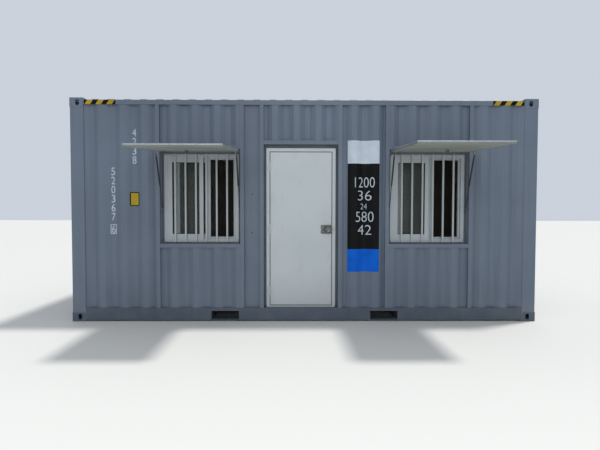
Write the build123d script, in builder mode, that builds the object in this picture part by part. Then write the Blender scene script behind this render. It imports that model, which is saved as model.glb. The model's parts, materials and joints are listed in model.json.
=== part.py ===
from build123d import *
import os
from math import cos, hypot, radians, sin

os.makedirs("parts", exist_ok=True)

# Outline of the container: a 20 ft high cube. +X runs along the front, -Y is the front, +Z is up
length = 6058
width = 2438
height = 2896

# Corner castings and their twist-lock slots
cast_l = 178
cast_w = 162
cast_h = 118
cast_round = 8
cast_plate = 28
cast_side = 16
cast_inner = 10
slot_l = 124.5
slot_w = 63.5
slot_from_end = 102.5
slot_from_side = 89.5
hole_tall = 79.4
hole_wide_end = 63.5
hole_wide_side = 51
hole_level = 60

# Frame: posts and rails stand this far inside the castings
set_back = 3
post_wall = 6
post_round = 12
rail_base = 17
rail_h = 162
rail_flange_top = 48
rail_flange_low = 30
rail_wall = 4.5
top_tube = 60
top_tube_wall = 3
top_tube_drop = 26

# Floor, its cross members and the two fork pockets
floor_t = 28
member_h = 122
member_w = 45
member_wall = 4
member_pitch = 280
member_first = 150
floor_gap = 2
pocket_x = 1040
pocket_w = 360
pocket_h = 120
pocket_wall = 4.5
pocket_strap_w = 200
pocket_strap_t = 6

# Corrugated sheet of the walls
sheet_t = 2
sheet_inset = 9
fold_pitch = 280
fold_depth = 36
fold_inner = 70
fold_slope = 68

# Stamped roof sheet
rib_pitch = 209
rib_count = 27
rib_w = 118
rib_h = 18
rib_slope = 45
rib_edge = 34
roof_edge = 19

# Square tubes that frame the bays of the front, and the centre of each bay
tube = 50
tube_wall = 3
left_window_x = -1360
right_window_x = 1618
door_x = -50
window_sill_z = 1015

# Recess centre of the folds in each front bay
folds_left_bay = -2489
folds_left_window = -1555
folds_door = -246
folds_sign_bay = 780
folds_right_window = 1816
folds_right_bay = 2468

# Inner lining, ceiling and the reveals between lining and tubes
lining_t = 12
lining_face = 155
lining_end_gap = 79
lining_joint = 2
board_w = 1220
ceiling_drop = 196
reveal_t = 10
packer_depth = 25

# Sliding windows
win_w = 978
win_side_gap = 31
win_base_gap = 16
win_h = 1159
win_head_gap = 55
win_depth = 60
win_web = 36
win_lip = 4
win_lip_front = 44
win_lip_back = 70
sash_w = 474
sash_t = 22
sash_inset = 38
sash_stile = 66
sash_meeting = 52
sash_rail = 71
left_sash_shift = 90
right_sash_shift = 47
pane_t = 5

# Door, its frame, hinges and lock
leaf_w = 800
leaf_h = 2000
leaf_t = 45
leaf_skin = 1.5
leaf_chamfer = 2
leaf_gap = 4
frame_w = 48
frame_head = 49
frame_sill = 26
frame_stop = 15
frame_side_gap = 33
frame_head_gap = 44
seal_gap = 5
door_packer_depth = 36
door_hinge_h = 120
door_hinge_r = 8
door_pin_r = 5
pin_clearance = 0.1
pin_short = 10
knuckle_gap = 0.5
door_hinge_out = 10
door_hinge_edge = 7
door_hinge_end = 190
door_hinge_plate = 32
door_hinge_plate_t = 3
door_hinge_web = 4
lock_up = 994
lock_in = 44
hasp_w = 139
hasp_h = 114
hasp_t = 6
hasp_edge = 3
hasp_lobe_r = 22
hasp_waist = 7
puck_r = 52
puck_t = 40
puck_out = 10
puck_round = 6
lug_t = 6
lug_h = 40
lug_out = 26
lug_edge = 2
lug_plate_w = 18
lug_plate_h = 64
lug_plate_t = 3
lug_clearance = 7

# Flaps over the windows, modelled raised as they are propped
flap_gap = 17
flap_head_gap = 5
flap_foot_gap = 25
flap_t = 33
flap_skin = 2
flap_board = 12
board_inset = 1
left_droop_angle = 5.8
right_droop_angle = 4.0
hinge_out = 8
hinge_rise = 4
hinge_r = 6.5
hinge_pin_r = 3.5
hinge_l = 100
hinge_plate = 32
hinge_plate_t = 3
hinge_spread = 400
hinge_start = 12
flap_face = 7

# Gas struts: upper pivot on the flap, lower pivot on the window reveal
strut_offset = 18
upper_along = 190
upper_below = 78
lower_depth = 80
lower_up = 438
eye_r = 9
eye_t = 10
stud_r = 4
neck_t = 6
cylinder_r = 10
cylinder_bore = 8.4
cylinder_start = 40
cylinder_cap = 6
cylinder_end = 418
gland_l = 14
rod_r = 4.5
rod_hidden = 60
piston_r = 8.1
piston_l = 12
bracket_t = 4
bracket_gap = 2
bracket_w = 30
bracket_h = 50
ear_w = 24

# Places that follow from the sizes above
half_l = length / 2
half_w = width / 2
frame_x = half_l - set_back
frame_y = half_w - set_back
bay_end = half_l - cast_l
side_end = half_w - cast_w
rail_top = rail_base + rail_h
top_z = height - top_tube_drop
top_under = top_z - top_tube
tube_back = frame_y - tube
sheet_out = half_w - sheet_inset
lining_in = half_w - lining_face
lining_out = lining_in + lining_t
lining_end = half_l - lining_end_gap
floor_z = rail_top
ceiling_z = height - ceiling_drop
window_bay = win_w + 2 * win_side_gap
win_base = window_sill_z + win_base_gap
window_head_z = win_base + win_h + win_head_gap
win_face = lining_in + win_depth
leaf_face = tube_back
leaf_low = floor_z + frame_sill + leaf_gap
leaf_left = door_x - leaf_w / 2
leaf_right = door_x + leaf_w / 2
door_frame_w = leaf_w + 2 * (leaf_gap + frame_w)
door_frame_h = leaf_h + 2 * leaf_gap + frame_head + frame_sill
door_bay = door_frame_w + 2 * frame_side_gap
door_head_z = floor_z + door_frame_h + frame_head_gap
hinge_y = -(frame_y + hinge_out)
hinge_z = window_head_z + hinge_rise
flap_start = hinge_rise + flap_head_gap
flap_len = window_head_z - flap_head_gap - window_sill_z - flap_foot_gap
lower_y = -(frame_y - lower_depth)
lower_z = window_sill_z + lower_up


def save(builder, name):
    builder.part.label = name
    export_step(builder.part, "parts/" + name + ".step")


def relief(s, centre):
    """Depth of the folded sheet behind its outer face at place s along the wall."""
    away = abs((s - centre + fold_pitch / 2) % fold_pitch - fold_pitch / 2)
    if away <= fold_inner / 2:
        return fold_depth
    if away < fold_inner / 2 + fold_slope:
        return fold_depth * (1 - (away - fold_inner / 2) / fold_slope)
    return 0


def fold_line(s0, s1, centre):
    """Corners (place, depth) of the folded sheet from s0 to s1."""
    bends = []
    first = int((s0 - centre) // fold_pitch) - 1
    last = int((s1 - centre) // fold_pitch) + 2
    for k in range(first, last):
        recess = centre + k * fold_pitch
        for off in (fold_inner / 2 + fold_slope, fold_inner / 2):
            bends += [recess - off, recess + off]
    inside = sorted(b for b in bends if s0 + 1 < b < s1 - 1)
    return [(s, relief(s, centre)) for s in [s0] + inside + [s1]]


def folded_sheet(s0, s1, centre, z0, z1, side, face):
    """A folded wall sheet. side is "front", "back", "left" or "right"; face is its outer face."""
    line = fold_line(s0, s1, centre)
    outer = [(s, face - d) for s, d in line]
    inner = [(s, face - d - sheet_t) for s, d in reversed(line)]
    turn = {
        "front": lambda s, f: (s, -f),
        "back": lambda s, f: (s, f),
        "left": lambda s, f: (-f, s),
        "right": lambda s, f: (f, s),
    }[side]
    with BuildSketch(Plane.XY.offset(z0)) as band:
        with BuildLine():
            Polyline(*[turn(s, f) for s, f in outer + inner], close=True)
        make_face()
    extrude(band.sketch, amount=z1 - z0)


def rod_between(start, axis, radius, run, mode=Mode.ADD):
    """A round bar that starts at a point and runs along an axis."""
    with BuildSketch(Plane(origin=start, z_dir=axis)) as disc:
        Circle(radius)
    extrude(disc.sketch, amount=run, mode=mode)


def block(x0, x1, y0, y1, z0, z1, mode=Mode.ADD):
    """A block between two corners."""
    with Locations(((x0 + x1) / 2, (y0 + y1) / 2, (z0 + z1) / 2)):
        Box(abs(x1 - x0), abs(y1 - y0), abs(z1 - z0), mode=mode)


def corner_notches(z0, z1):
    """Cut the four corners of a board where the posts stand, with the joint's gap."""
    for sx in (-1, 1):
        for sy in (-1, 1):
            block(
                sx * (bay_end - lining_joint), sx * half_l, sy * (side_end - lining_joint), sy * half_w,
                z0, z1, Mode.SUBTRACT,
            )


def corner_castings(outer_z, inward):
    """Four hollow castings at one level. inward is +1 for the bottom set and -1 for the top set."""
    corners = [(sx, sy) for sx in (-1, 1) for sy in (-1, 1)]
    hole_z = outer_z + inward * hole_level
    with BuildPart() as castings:
        with BuildSketch(Plane.XY.offset(outer_z)):
            with Locations([(sx * (half_l - cast_l / 2), sy * (half_w - cast_w / 2)) for sx, sy in corners]):
                RectangleRounded(cast_l, cast_w, cast_round)
        extrude(amount=inward * cast_h)
        for sx, sy in corners:
            block(
                sx * (half_l - cast_side), sx * (bay_end + cast_inner),
                sy * (half_w - cast_side), sy * (side_end + cast_inner),
                outer_z + inward * cast_plate, outer_z + inward * (cast_h - cast_inner),
                Mode.SUBTRACT,
            )
        slots = [(sx * (half_l - slot_from_end), sy * (half_w - slot_from_side)) for sx, sy in corners]
        with BuildSketch(Plane.XY.offset(outer_z)):
            with Locations(slots):
                SlotOverall(slot_l, slot_w)
        extrude(amount=inward * cast_plate, mode=Mode.SUBTRACT)
        for sx, sy in corners:
            end_hole = (sx * half_l, sy * (half_w - slot_from_side), hole_z)
            with BuildSketch(Plane(origin=end_hole, x_dir=(0, 0, 1), z_dir=(-sx, 0, 0))):
                SlotOverall(hole_tall, hole_wide_end)
            extrude(amount=cast_side, mode=Mode.SUBTRACT)
            side_hole = (sx * (half_l - slot_from_end), sy * half_w, hole_z)
            with BuildSketch(Plane(origin=side_hole, x_dir=(0, 0, 1), z_dir=(0, -sy, 0))):
                SlotOverall(hole_tall, hole_wide_side)
            extrude(amount=cast_side, mode=Mode.SUBTRACT)
    return castings


save(corner_castings(0, 1), "bottom_corner_castings")
save(corner_castings(height, -1), "top_corner_castings")

# Corner posts: hollow pressed section between the castings
post_l = cast_l - set_back
post_w = cast_w - set_back
with BuildPart() as corner_posts:
    with BuildSketch(Plane.XY.offset(cast_h)):
        with GridLocations(2 * frame_x - post_l, 2 * frame_y - post_w, 2, 2):
            RectangleRounded(post_l, post_w, post_round)
            RectangleRounded(
                post_l - 2 * post_wall, post_w - 2 * post_wall, post_round - post_wall, mode=Mode.SUBTRACT,
            )
    extrude(amount=height - 2 * cast_h)
save(corner_posts, "corner_posts")


def channel_outline(face, sign):
    """Channel section of a bottom rail, open to the inside; face is its outer face."""
    inner = face - rail_wall
    points = [
        (face, rail_base), (face, rail_top), (face - rail_flange_top, rail_top),
        (face - rail_flange_top, rail_top - rail_wall), (inner, rail_top - rail_wall),
        (inner, rail_base + rail_wall), (face - rail_flange_low, rail_base + rail_wall),
        (face - rail_flange_low, rail_base),
    ]
    return [(sign * across, up) for across, up in points]


# Bottom side rails, cut open at the fork pockets
pocket_half = pocket_w / 2 + pocket_wall
pocket_top = rail_base + pocket_h
with BuildPart() as bottom_side_rails:
    for sign in (-1, 1):
        with BuildSketch(Plane.YZ.offset(-bay_end)):
            with BuildLine():
                Polyline(*channel_outline(frame_y, sign), close=True)
            make_face()
    extrude(amount=2 * bay_end)
    for x in (-pocket_x, pocket_x):
        block(x - pocket_half, x + pocket_half, -half_w, half_w, 0, pocket_top + pocket_wall, Mode.SUBTRACT)
save(bottom_side_rails, "bottom_side_rails")

with BuildPart() as bottom_end_rails:
    for sign in (-1, 1):
        with BuildSketch(Plane.XZ.offset(-side_end)):
            with BuildLine():
                Polyline(*channel_outline(frame_x, sign), close=True)
            make_face()
    extrude(amount=2 * side_end)
save(bottom_end_rails, "bottom_end_rails")

# Top rails: square tubes between the top castings
with BuildPart() as top_side_rails:
    with BuildSketch(Plane.YZ.offset(-bay_end)):
        with Locations([(sy * (frame_y - top_tube / 2), top_z - top_tube / 2) for sy in (-1, 1)]):
            Rectangle(top_tube, top_tube)
            Rectangle(top_tube - 2 * top_tube_wall, top_tube - 2 * top_tube_wall, mode=Mode.SUBTRACT)
    extrude(amount=2 * bay_end)
save(top_side_rails, "top_side_rails")

with BuildPart() as top_end_rails:
    with BuildSketch(Plane.XZ.offset(-side_end)):
        with Locations([(sx * (frame_x - top_tube / 2), top_z - top_tube / 2) for sx in (-1, 1)]):
            Rectangle(top_tube, top_tube)
            Rectangle(top_tube - 2 * top_tube_wall, top_tube - 2 * top_tube_wall, mode=Mode.SUBTRACT)
    extrude(amount=2 * side_end)
save(top_end_rails, "top_end_rails")

# Floor: plywood on folded cross members
member_top = floor_z - floor_t
member_reach = frame_y - rail_wall
member_places = []
place = member_first
while place + member_w / 2 < bay_end:
    if abs(place - pocket_x) > pocket_half + member_w / 2:
        member_places += [-place, place]
    place += member_pitch
with BuildPart() as cross_members:
    low = member_top - member_h
    for x in member_places:
        back = x - member_w / 2
        toe = back + member_w
        web = back + member_wall
        with BuildSketch(Plane.XZ.offset(-member_reach)):
            with BuildLine():
                Polyline(
                    (back, member_top), (toe, member_top), (toe, member_top - member_wall),
                    (web, member_top - member_wall), (web, low + member_wall), (toe, low + member_wall),
                    (toe, low), (back, low), close=True,
                )
            make_face()
    extrude(amount=2 * member_reach)
save(cross_members, "cross_members")

with BuildPart() as floor_boards:
    floor_x = frame_x - rail_flange_top - floor_gap
    floor_y = frame_y - rail_flange_top - floor_gap
    block(-floor_x, floor_x, -floor_y, floor_y, member_top, floor_z)
    corner_notches(member_top, floor_z)
save(floor_boards, "floor_boards")

# Fork pockets: a folded tunnel right through, with a strap under each mouth
with BuildPart() as fork_pockets:
    with BuildSketch(Plane.XZ.offset(-frame_y)):
        for x in (-pocket_x, pocket_x):
            with Locations((x, (rail_base + pocket_top + pocket_wall) / 2)):
                Rectangle(2 * pocket_half, pocket_h + pocket_wall)
            with Locations((x, (rail_base + pocket_top) / 2)):
                Rectangle(pocket_w, pocket_h, mode=Mode.SUBTRACT)
    extrude(amount=2 * frame_y)
    for x in (-pocket_x, pocket_x):
        for sy in (-1, 1):
            block(
                x - pocket_w / 2, x + pocket_w / 2, sy * frame_y, sy * (frame_y - pocket_strap_w),
                rail_base, rail_base + pocket_strap_t,
            )
save(fork_pockets, "fork_pockets")

# Roof: one sheet with stamped ribs, notched round the castings
with BuildPart() as roof_sheet:
    roof_x = half_l - roof_edge
    roof_y = half_w - roof_edge
    block(-roof_x, roof_x, -roof_y, roof_y, top_z, top_z + sheet_t)
    rib_l = 2 * (half_w - rib_edge)
    with BuildSketch(Plane.XY.offset(top_z + sheet_t)):
        with GridLocations(rib_pitch, 0, rib_count, 1):
            Rectangle(rib_w, rib_l)
    extrude(amount=rib_h, taper=rib_slope)
    with BuildSketch(Plane.XY.offset(top_z)):
        with GridLocations(rib_pitch, 0, rib_count, 1):
            Rectangle(rib_w, rib_l)
    extrude(amount=rib_h, taper=rib_slope, mode=Mode.SUBTRACT)
    for sx in (-1, 1):
        for sy in (-1, 1):
            block(sx * bay_end, sx * half_l, sy * side_end, sy * half_w, top_z - sheet_t, height, Mode.SUBTRACT)
save(roof_sheet, "roof_sheet")

# Square tubes at the sides of the bays
left_window_edges = (left_window_x - window_bay / 2, left_window_x + window_bay / 2)
right_window_edges = (right_window_x - window_bay / 2, right_window_x + window_bay / 2)
door_edges = (door_x - door_bay / 2, door_x + door_bay / 2)
with BuildPart() as bay_uprights:
    with BuildSketch(Plane.XY.offset(rail_top)):
        for low, high in (left_window_edges, door_edges, right_window_edges):
            with Locations((low - tube / 2, tube / 2 - frame_y), (high + tube / 2, tube / 2 - frame_y)):
                Rectangle(tube, tube)
                Rectangle(tube - 2 * tube_wall, tube - 2 * tube_wall, mode=Mode.SUBTRACT)
    extrude(amount=top_under - rail_top)
save(bay_uprights, "bay_uprights")

# Sill and head tubes between the uprights
bay_rails = [(left_window_edges, window_sill_z - tube), (left_window_edges, window_head_z)]
bay_rails += [(right_window_edges, window_sill_z - tube), (right_window_edges, window_head_z)]
bay_rails += [(door_edges, door_head_z)]
with BuildPart() as sill_and_head_tubes:
    for (low, high), z in bay_rails:
        with BuildSketch(Plane.YZ.offset(low)):
            with Locations((tube / 2 - frame_y, z + tube / 2)):
                Rectangle(tube, tube)
                Rectangle(tube - 2 * tube_wall, tube - 2 * tube_wall, mode=Mode.SUBTRACT)
        extrude(amount=high - low)
save(sill_and_head_tubes, "sill_and_head_tubes")

# Folded sheets of the front wall, one to a bay
with BuildPart() as front_sheet_left:
    folded_sheet(-bay_end, left_window_edges[0] - tube, folds_left_bay, rail_top, top_under, "front", sheet_out)
save(front_sheet_left, "front_sheet_left")

window_bays = ((left_window_edges, folds_left_window), (right_window_edges, folds_right_window))
with BuildPart() as front_sheets_under_windows:
    for (low, high), centre in window_bays:
        folded_sheet(low, high, centre, rail_top, window_sill_z - tube, "front", sheet_out)
save(front_sheets_under_windows, "front_sheets_under_windows")

with BuildPart() as front_sheets_over_windows:
    for (low, high), centre in window_bays:
        folded_sheet(low, high, centre, window_head_z + tube, top_under, "front", sheet_out)
save(front_sheets_over_windows, "front_sheets_over_windows")

with BuildPart() as front_sheet_over_door:
    folded_sheet(*door_edges, folds_door, door_head_z + tube, top_under, "front", sheet_out)
save(front_sheet_over_door, "front_sheet_over_door")

with BuildPart() as front_sheet_by_door:
    strip_y = sheet_out - fold_depth
    block(
        left_window_edges[1] + tube, door_edges[0] - tube, -strip_y, -(strip_y - sheet_t), rail_top, top_under,
    )
save(front_sheet_by_door, "front_sheet_by_door")

with BuildPart() as front_sheet_sign_bay:
    folded_sheet(
        door_edges[1] + tube, right_window_edges[0] - tube, folds_sign_bay,
        rail_top, top_under, "front", sheet_out,
    )
save(front_sheet_sign_bay, "front_sheet_sign_bay")

with BuildPart() as front_sheet_right:
    folded_sheet(
        right_window_edges[1] + tube, bay_end, folds_right_bay, rail_top, top_under, "front", sheet_out,
    )
save(front_sheet_right, "front_sheet_right")

# Folded sheets of the back and of both ends
with BuildPart() as back_sheet:
    folded_sheet(-bay_end, bay_end, fold_pitch / 2, rail_top, top_under, "back", sheet_out)
save(back_sheet, "back_sheet")

for side in ("left", "right"):
    with BuildPart() as end_sheet:
        folded_sheet(-side_end, side_end, fold_pitch / 2, rail_top, top_under, side, half_l - sheet_inset)
    save(end_sheet, side + "_end_sheet")

# Openings of the windows and the door, lined by boards behind the tubes
with BuildPart() as window_reveals:
    for x in (left_window_x, right_window_x):
        mid_z = (window_sill_z + window_head_z) / 2
        tall = window_head_z - window_sill_z
        with BuildSketch(Plane.XZ.offset(lining_out)):
            with Locations((x, mid_z)):
                Rectangle(window_bay + 2 * reveal_t, tall + 2 * reveal_t)
                Rectangle(window_bay, tall, mode=Mode.SUBTRACT)
        extrude(amount=tube_back - lining_out)
save(window_reveals, "window_reveals")

with BuildPart() as door_reveal:
    with BuildSketch(Plane.XZ.offset(lining_out)):
        with Locations((door_x, (floor_z + door_head_z + reveal_t) / 2)):
            Rectangle(door_bay + 2 * reveal_t, door_head_z + reveal_t - floor_z)
        with Locations((door_x, (floor_z + door_head_z) / 2)):
            Rectangle(door_bay, door_head_z - floor_z, mode=Mode.SUBTRACT)
    extrude(amount=tube_back - lining_out)
save(door_reveal, "door_reveal")

# Packers that carry the window and door frames in those openings
with BuildPart() as window_packers:
    for x in (left_window_x, right_window_x):
        with BuildSketch(Plane.XZ.offset(lining_in)):
            with Locations((x, (window_sill_z + window_head_z) / 2)):
                Rectangle(window_bay, window_head_z - window_sill_z)
            with Locations((x, win_base + win_h / 2)):
                Rectangle(win_w, win_h, mode=Mode.SUBTRACT)
        extrude(amount=packer_depth)
save(window_packers, "window_packers")

with BuildPart() as door_packer:
    with BuildSketch(Plane.XZ.offset(lining_in)):
        with Locations((door_x, (floor_z + door_head_z) / 2)):
            Rectangle(door_bay, door_head_z - floor_z)
        with Locations((door_x, floor_z + door_frame_h / 2)):
            Rectangle(door_frame_w, door_frame_h, mode=Mode.SUBTRACT)
    extrude(amount=door_packer_depth)
save(door_packer, "door_packer")

# Lining boards, with a joint between neighbours
joint = lining_joint / 2
side_board_end = bay_end - lining_joint
with BuildPart() as front_lining:
    for low, high in (
        (-side_board_end, left_window_edges[0]), (left_window_edges[1], door_edges[0]),
        (door_edges[1], right_window_edges[0]), (right_window_edges[1], side_board_end),
    ):
        block(low, high, -lining_out, -lining_in, floor_z, ceiling_z)
    for low, high in (left_window_edges, right_window_edges):
        block(low + joint, high - joint, -lining_out, -lining_in, floor_z, window_sill_z)
        block(low + joint, high - joint, -lining_out, -lining_in, window_head_z, ceiling_z)
    block(door_edges[0] + joint, door_edges[1] - joint, -lining_out, -lining_in, door_head_z, ceiling_z)
save(front_lining, "front_lining")

board_count = int(2 * side_board_end // board_w) + 1
board_edges = [-side_board_end + k * board_w for k in range(board_count)] + [side_board_end]
with BuildPart() as back_lining:
    for low, high in zip(board_edges, board_edges[1:]):
        block(low + joint, high - joint, lining_in, lining_out, floor_z, ceiling_z)
save(back_lining, "back_lining")

with BuildPart() as end_linings:
    for sx in (-1, 1):
        block(
            sx * lining_end, sx * (lining_end - lining_t), -side_end + lining_joint, side_end - lining_joint,
            floor_z, ceiling_z,
        )
save(end_linings, "end_linings")

ceiling_edges = [-lining_end] + board_edges[1:-1] + [lining_end]
with BuildPart() as ceiling_boards:
    for low, high in zip(ceiling_edges, ceiling_edges[1:]):
        block(low + joint, high - joint, -lining_out, lining_out, ceiling_z, ceiling_z + lining_t)
    corner_notches(ceiling_z, ceiling_z + lining_t)
save(ceiling_boards, "ceiling_boards")


def ring(centre_x, z0, wide, tall, rim, y_front, deep, mode=Mode.ADD):
    """A rectangular ring in the front plane; y_front is its distance out from the middle."""
    with BuildSketch(Plane.XZ.offset(y_front - deep)) as outline:
        with Locations((centre_x, z0 + tall / 2)):
            Rectangle(wide, tall)
            Rectangle(wide - 2 * rim, tall - 2 * rim, mode=Mode.SUBTRACT)
    extrude(outline.sketch, amount=deep, mode=mode)


# Sliding windows: frame with three track lips, two sashes and their panes
track = (win_depth - 3 * win_lip) / 2
sash_play = (track - sash_t) / 2
front_sash_face = win_face - win_lip - sash_play
back_sash_face = front_sash_face - track - win_lip
sash_z = win_base + win_web
sash_h = win_h - win_web - sash_inset
for side, x, shift in (("left", left_window_x, left_sash_shift), ("right", right_window_x, right_sash_shift)):
    with BuildPart() as window_frame:
        ring(x, win_base, win_w, win_h, win_web, win_face, win_depth)
        ring(x, win_base, win_w, win_h, win_lip_front, win_face, win_lip)
        ring(x, win_base, win_w, win_h, win_lip_back, win_face - win_lip - track, win_lip)
        ring(x, win_base, win_w, win_h, win_lip_back, win_face - win_depth + win_lip, win_lip)
    save(window_frame, side + "_window_frame")

    front_left = x - win_w / 2 + sash_inset
    sash_places = ((front_left, front_sash_face), (front_left + shift, back_sash_face))
    with BuildPart() as sashes:
        for low, face in sash_places:
            with BuildSketch(Plane.XZ.offset(face - sash_t)):
                with Locations((low + sash_w / 2, sash_z + sash_h / 2)):
                    Rectangle(sash_w, sash_h)
                with Locations((low + (sash_w + sash_stile - sash_meeting) / 2, sash_z + sash_h / 2)):
                    Rectangle(sash_w - sash_stile - sash_meeting, sash_h - 2 * sash_rail, mode=Mode.SUBTRACT)
            extrude(amount=sash_t)
    save(sashes, side + "_window_sashes")

    with BuildPart() as panes:
        for low, face in sash_places:
            block(
                low + sash_stile, low + sash_w - sash_meeting,
                -(face - (sash_t - pane_t) / 2), -(face - (sash_t + pane_t) / 2),
                sash_z + sash_rail, sash_z + sash_h - sash_rail,
            )
    save(panes, side + "_window_panes")

# Door frame with its rebate and stop
opening_mid = leaf_low + leaf_h / 2
opening_w = leaf_w + 2 * leaf_gap
opening_h = leaf_h + 2 * leaf_gap
with BuildPart() as door_frame:
    with BuildSketch(Plane.XZ.offset(lining_in)):
        with Locations((door_x, floor_z + door_frame_h / 2)):
            Rectangle(door_frame_w, door_frame_h)
        with Locations((door_x, opening_mid)):
            Rectangle(opening_w - 2 * frame_stop, opening_h - 2 * frame_stop, mode=Mode.SUBTRACT)
    extrude(amount=leaf_face - lining_in)
    with BuildSketch(Plane.XZ.offset(leaf_face - leaf_t - seal_gap)):
        with Locations((door_x, opening_mid)):
            Rectangle(opening_w, opening_h)
    extrude(amount=leaf_t + seal_gap, mode=Mode.SUBTRACT)
save(door_frame, "door_frame")

# Door leaf: a folded steel tray round a board core
core_back = -(leaf_face - leaf_t)
core_face = -(leaf_face - leaf_skin)
with BuildPart() as door_leaf:
    block(leaf_left, leaf_right, -leaf_face, core_back, leaf_low, leaf_low + leaf_h)
    chamfer(door_leaf.edges().filter_by(Axis.Y), length=leaf_chamfer)
    block(
        leaf_left + leaf_skin, leaf_right - leaf_skin, core_face, core_back,
        leaf_low + leaf_skin, leaf_low + leaf_h - leaf_skin, Mode.SUBTRACT,
    )
save(door_leaf, "door_leaf")

with BuildPart() as door_core:
    block(
        leaf_left + leaf_skin, leaf_right - leaf_skin, core_face, core_back,
        leaf_low + leaf_skin, leaf_low + leaf_h - leaf_skin,
    )
save(door_core, "door_core")

# Door hinges: the frame halves carry the pins, the leaf halves turn on them
door_axis_x = leaf_left - door_hinge_edge
door_axis_y = -(leaf_face + door_hinge_out)
half_hinge = door_hinge_h / 2
half_web = door_hinge_web / 2
door_hinge_levels = (leaf_low + door_hinge_end, opening_mid, leaf_low + leaf_h - door_hinge_end)
with BuildPart() as door_hinges_frame:
    for z in door_hinge_levels:
        foot = (door_axis_x, door_axis_y, z - half_hinge)
        rod_between(foot, (0, 0, 1), door_hinge_r, half_hinge - knuckle_gap)
        rod_between(foot, (0, 0, 1), door_pin_r, door_hinge_h - pin_short)
        block(
            door_axis_x - door_hinge_plate, door_axis_x, -leaf_face, -(leaf_face + door_hinge_plate_t),
            z - half_hinge, z - knuckle_gap,
        )
        block(
            door_axis_x - half_web, door_axis_x + half_web, -leaf_face, door_axis_y,
            z - half_hinge, z - knuckle_gap,
        )
save(door_hinges_frame, "door_hinges_frame")

with BuildPart() as door_hinges_leaf:
    for z in door_hinge_levels:
        knuckle = (door_axis_x, door_axis_y, z + knuckle_gap)
        rod_between(knuckle, (0, 0, 1), door_hinge_r, half_hinge - knuckle_gap)
        block(
            leaf_left + leaf_chamfer, door_axis_x + door_hinge_plate,
            -leaf_face, -(leaf_face + door_hinge_plate_t), z + knuckle_gap, z + half_hinge,
        )
        block(
            door_axis_x, leaf_left + door_hinge_web, -(leaf_face + door_hinge_plate_t), door_axis_y,
            z + knuckle_gap, z + half_hinge,
        )
        rod_between(
            knuckle, (0, 0, 1), door_pin_r + pin_clearance,
            door_hinge_h - pin_short - half_hinge, mode=Mode.SUBTRACT,
        )
save(door_hinges_leaf, "door_hinges_leaf")

# Lock: hasp plate on the leaf, round lock on it, and the lug on the frame that the lock closes over
lock_x = leaf_right - lock_in
lock_z = leaf_low + lock_up
hasp_right = leaf_right - hasp_edge
hasp_left = hasp_right - hasp_w
lobe_x = hasp_left + hasp_lobe_r
lobe_up = hasp_h / 2 - hasp_lobe_r
with BuildPart() as hasp_plate:
    with BuildSketch(Plane.XZ.offset(leaf_face)):
        with Locations(((lobe_x + hasp_right) / 2, lock_z)):
            Rectangle(hasp_w - hasp_lobe_r, hasp_h)
        with Locations((hasp_left + (hasp_waist + hasp_lobe_r) / 2, lock_z)):
            Rectangle(hasp_lobe_r - hasp_waist, 2 * lobe_up)
        with Locations((lobe_x, lock_z - lobe_up), (lobe_x, lock_z + lobe_up)):
            Circle(hasp_lobe_r)
    extrude(amount=hasp_t)
    with BuildSketch(Plane.XZ.offset(leaf_face + hasp_t)):
        with Locations((lock_x, lock_z)):
            Circle(puck_r / 2)
    extrude(amount=puck_out - hasp_t)
save(hasp_plate, "hasp_plate")

lug_x = leaf_right + leaf_gap + lug_edge
with BuildPart() as puck_lock:
    with BuildSketch(Plane.XZ.offset(leaf_face + puck_out)):
        with Locations((lock_x, lock_z)):
            Circle(puck_r)
    extrude(amount=puck_t)
    fillet(puck_lock.faces().sort_by(Axis.Y)[0].edges(), radius=puck_round)
    slot_half = lug_h / 2 + lug_clearance
    block(
        lug_x - lug_clearance, lug_x + 2 * lug_t,
        -(leaf_face + puck_out), -(leaf_face + lug_out + lug_clearance),
        lock_z - slot_half, lock_z + slot_half, Mode.SUBTRACT,
    )
save(puck_lock, "puck_lock")

with BuildPart() as lock_lug:
    block(lug_x, lug_x + lug_t, -leaf_face, -(leaf_face + lug_out), lock_z - lug_h / 2, lock_z + lug_h / 2)
    block(
        lug_x, lug_x + lug_plate_w, -leaf_face, -(leaf_face + lug_plate_t),
        lock_z - lug_plate_h / 2, lock_z + lug_plate_h / 2,
    )
save(lock_lug, "lock_lug")


def flap_plane(x, droop):
    """Plane of a raised flap on its hinge line: local x across, local -y away from the wall, z upwards."""
    tilt = radians(droop)
    return Plane(origin=(x, hinge_y, hinge_z), x_dir=(1, 0, 0), z_dir=(0, -sin(tilt), cos(tilt)))


def local_block(plane, x0, x1, y0, y1, z0, z1, mode=Mode.ADD):
    """A block between two corners in the axes of a plane."""
    with BuildSketch(plane.offset(z0)) as foot:
        with Locations(((x0 + x1) / 2, (y0 + y1) / 2)):
            Rectangle(abs(x1 - x0), abs(y1 - y0))
    extrude(foot.sketch, amount=z1 - z0, mode=mode)


# Fixed halves of the flap hinges, on the head tubes
with BuildPart() as flap_hinges_fixed:
    for x in (left_window_x, right_window_x):
        for mid in (x - hinge_spread, x, x + hinge_spread):
            low = mid - hinge_l / 2
            rod_between((low, hinge_y, hinge_z), (1, 0, 0), hinge_r, hinge_l / 2 - knuckle_gap)
            rod_between((low, hinge_y, hinge_z), (1, 0, 0), hinge_pin_r, hinge_l - pin_short)
            block(
                low, mid - knuckle_gap, -frame_y, -(frame_y + hinge_plate_t), hinge_z, hinge_z + hinge_start,
            )
            block(
                low, low + hinge_l, -frame_y, -(frame_y + hinge_plate_t),
                hinge_z + hinge_start, hinge_z + hinge_start + hinge_plate,
            )
save(flap_hinges_fixed, "flap_hinges_fixed")

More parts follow.
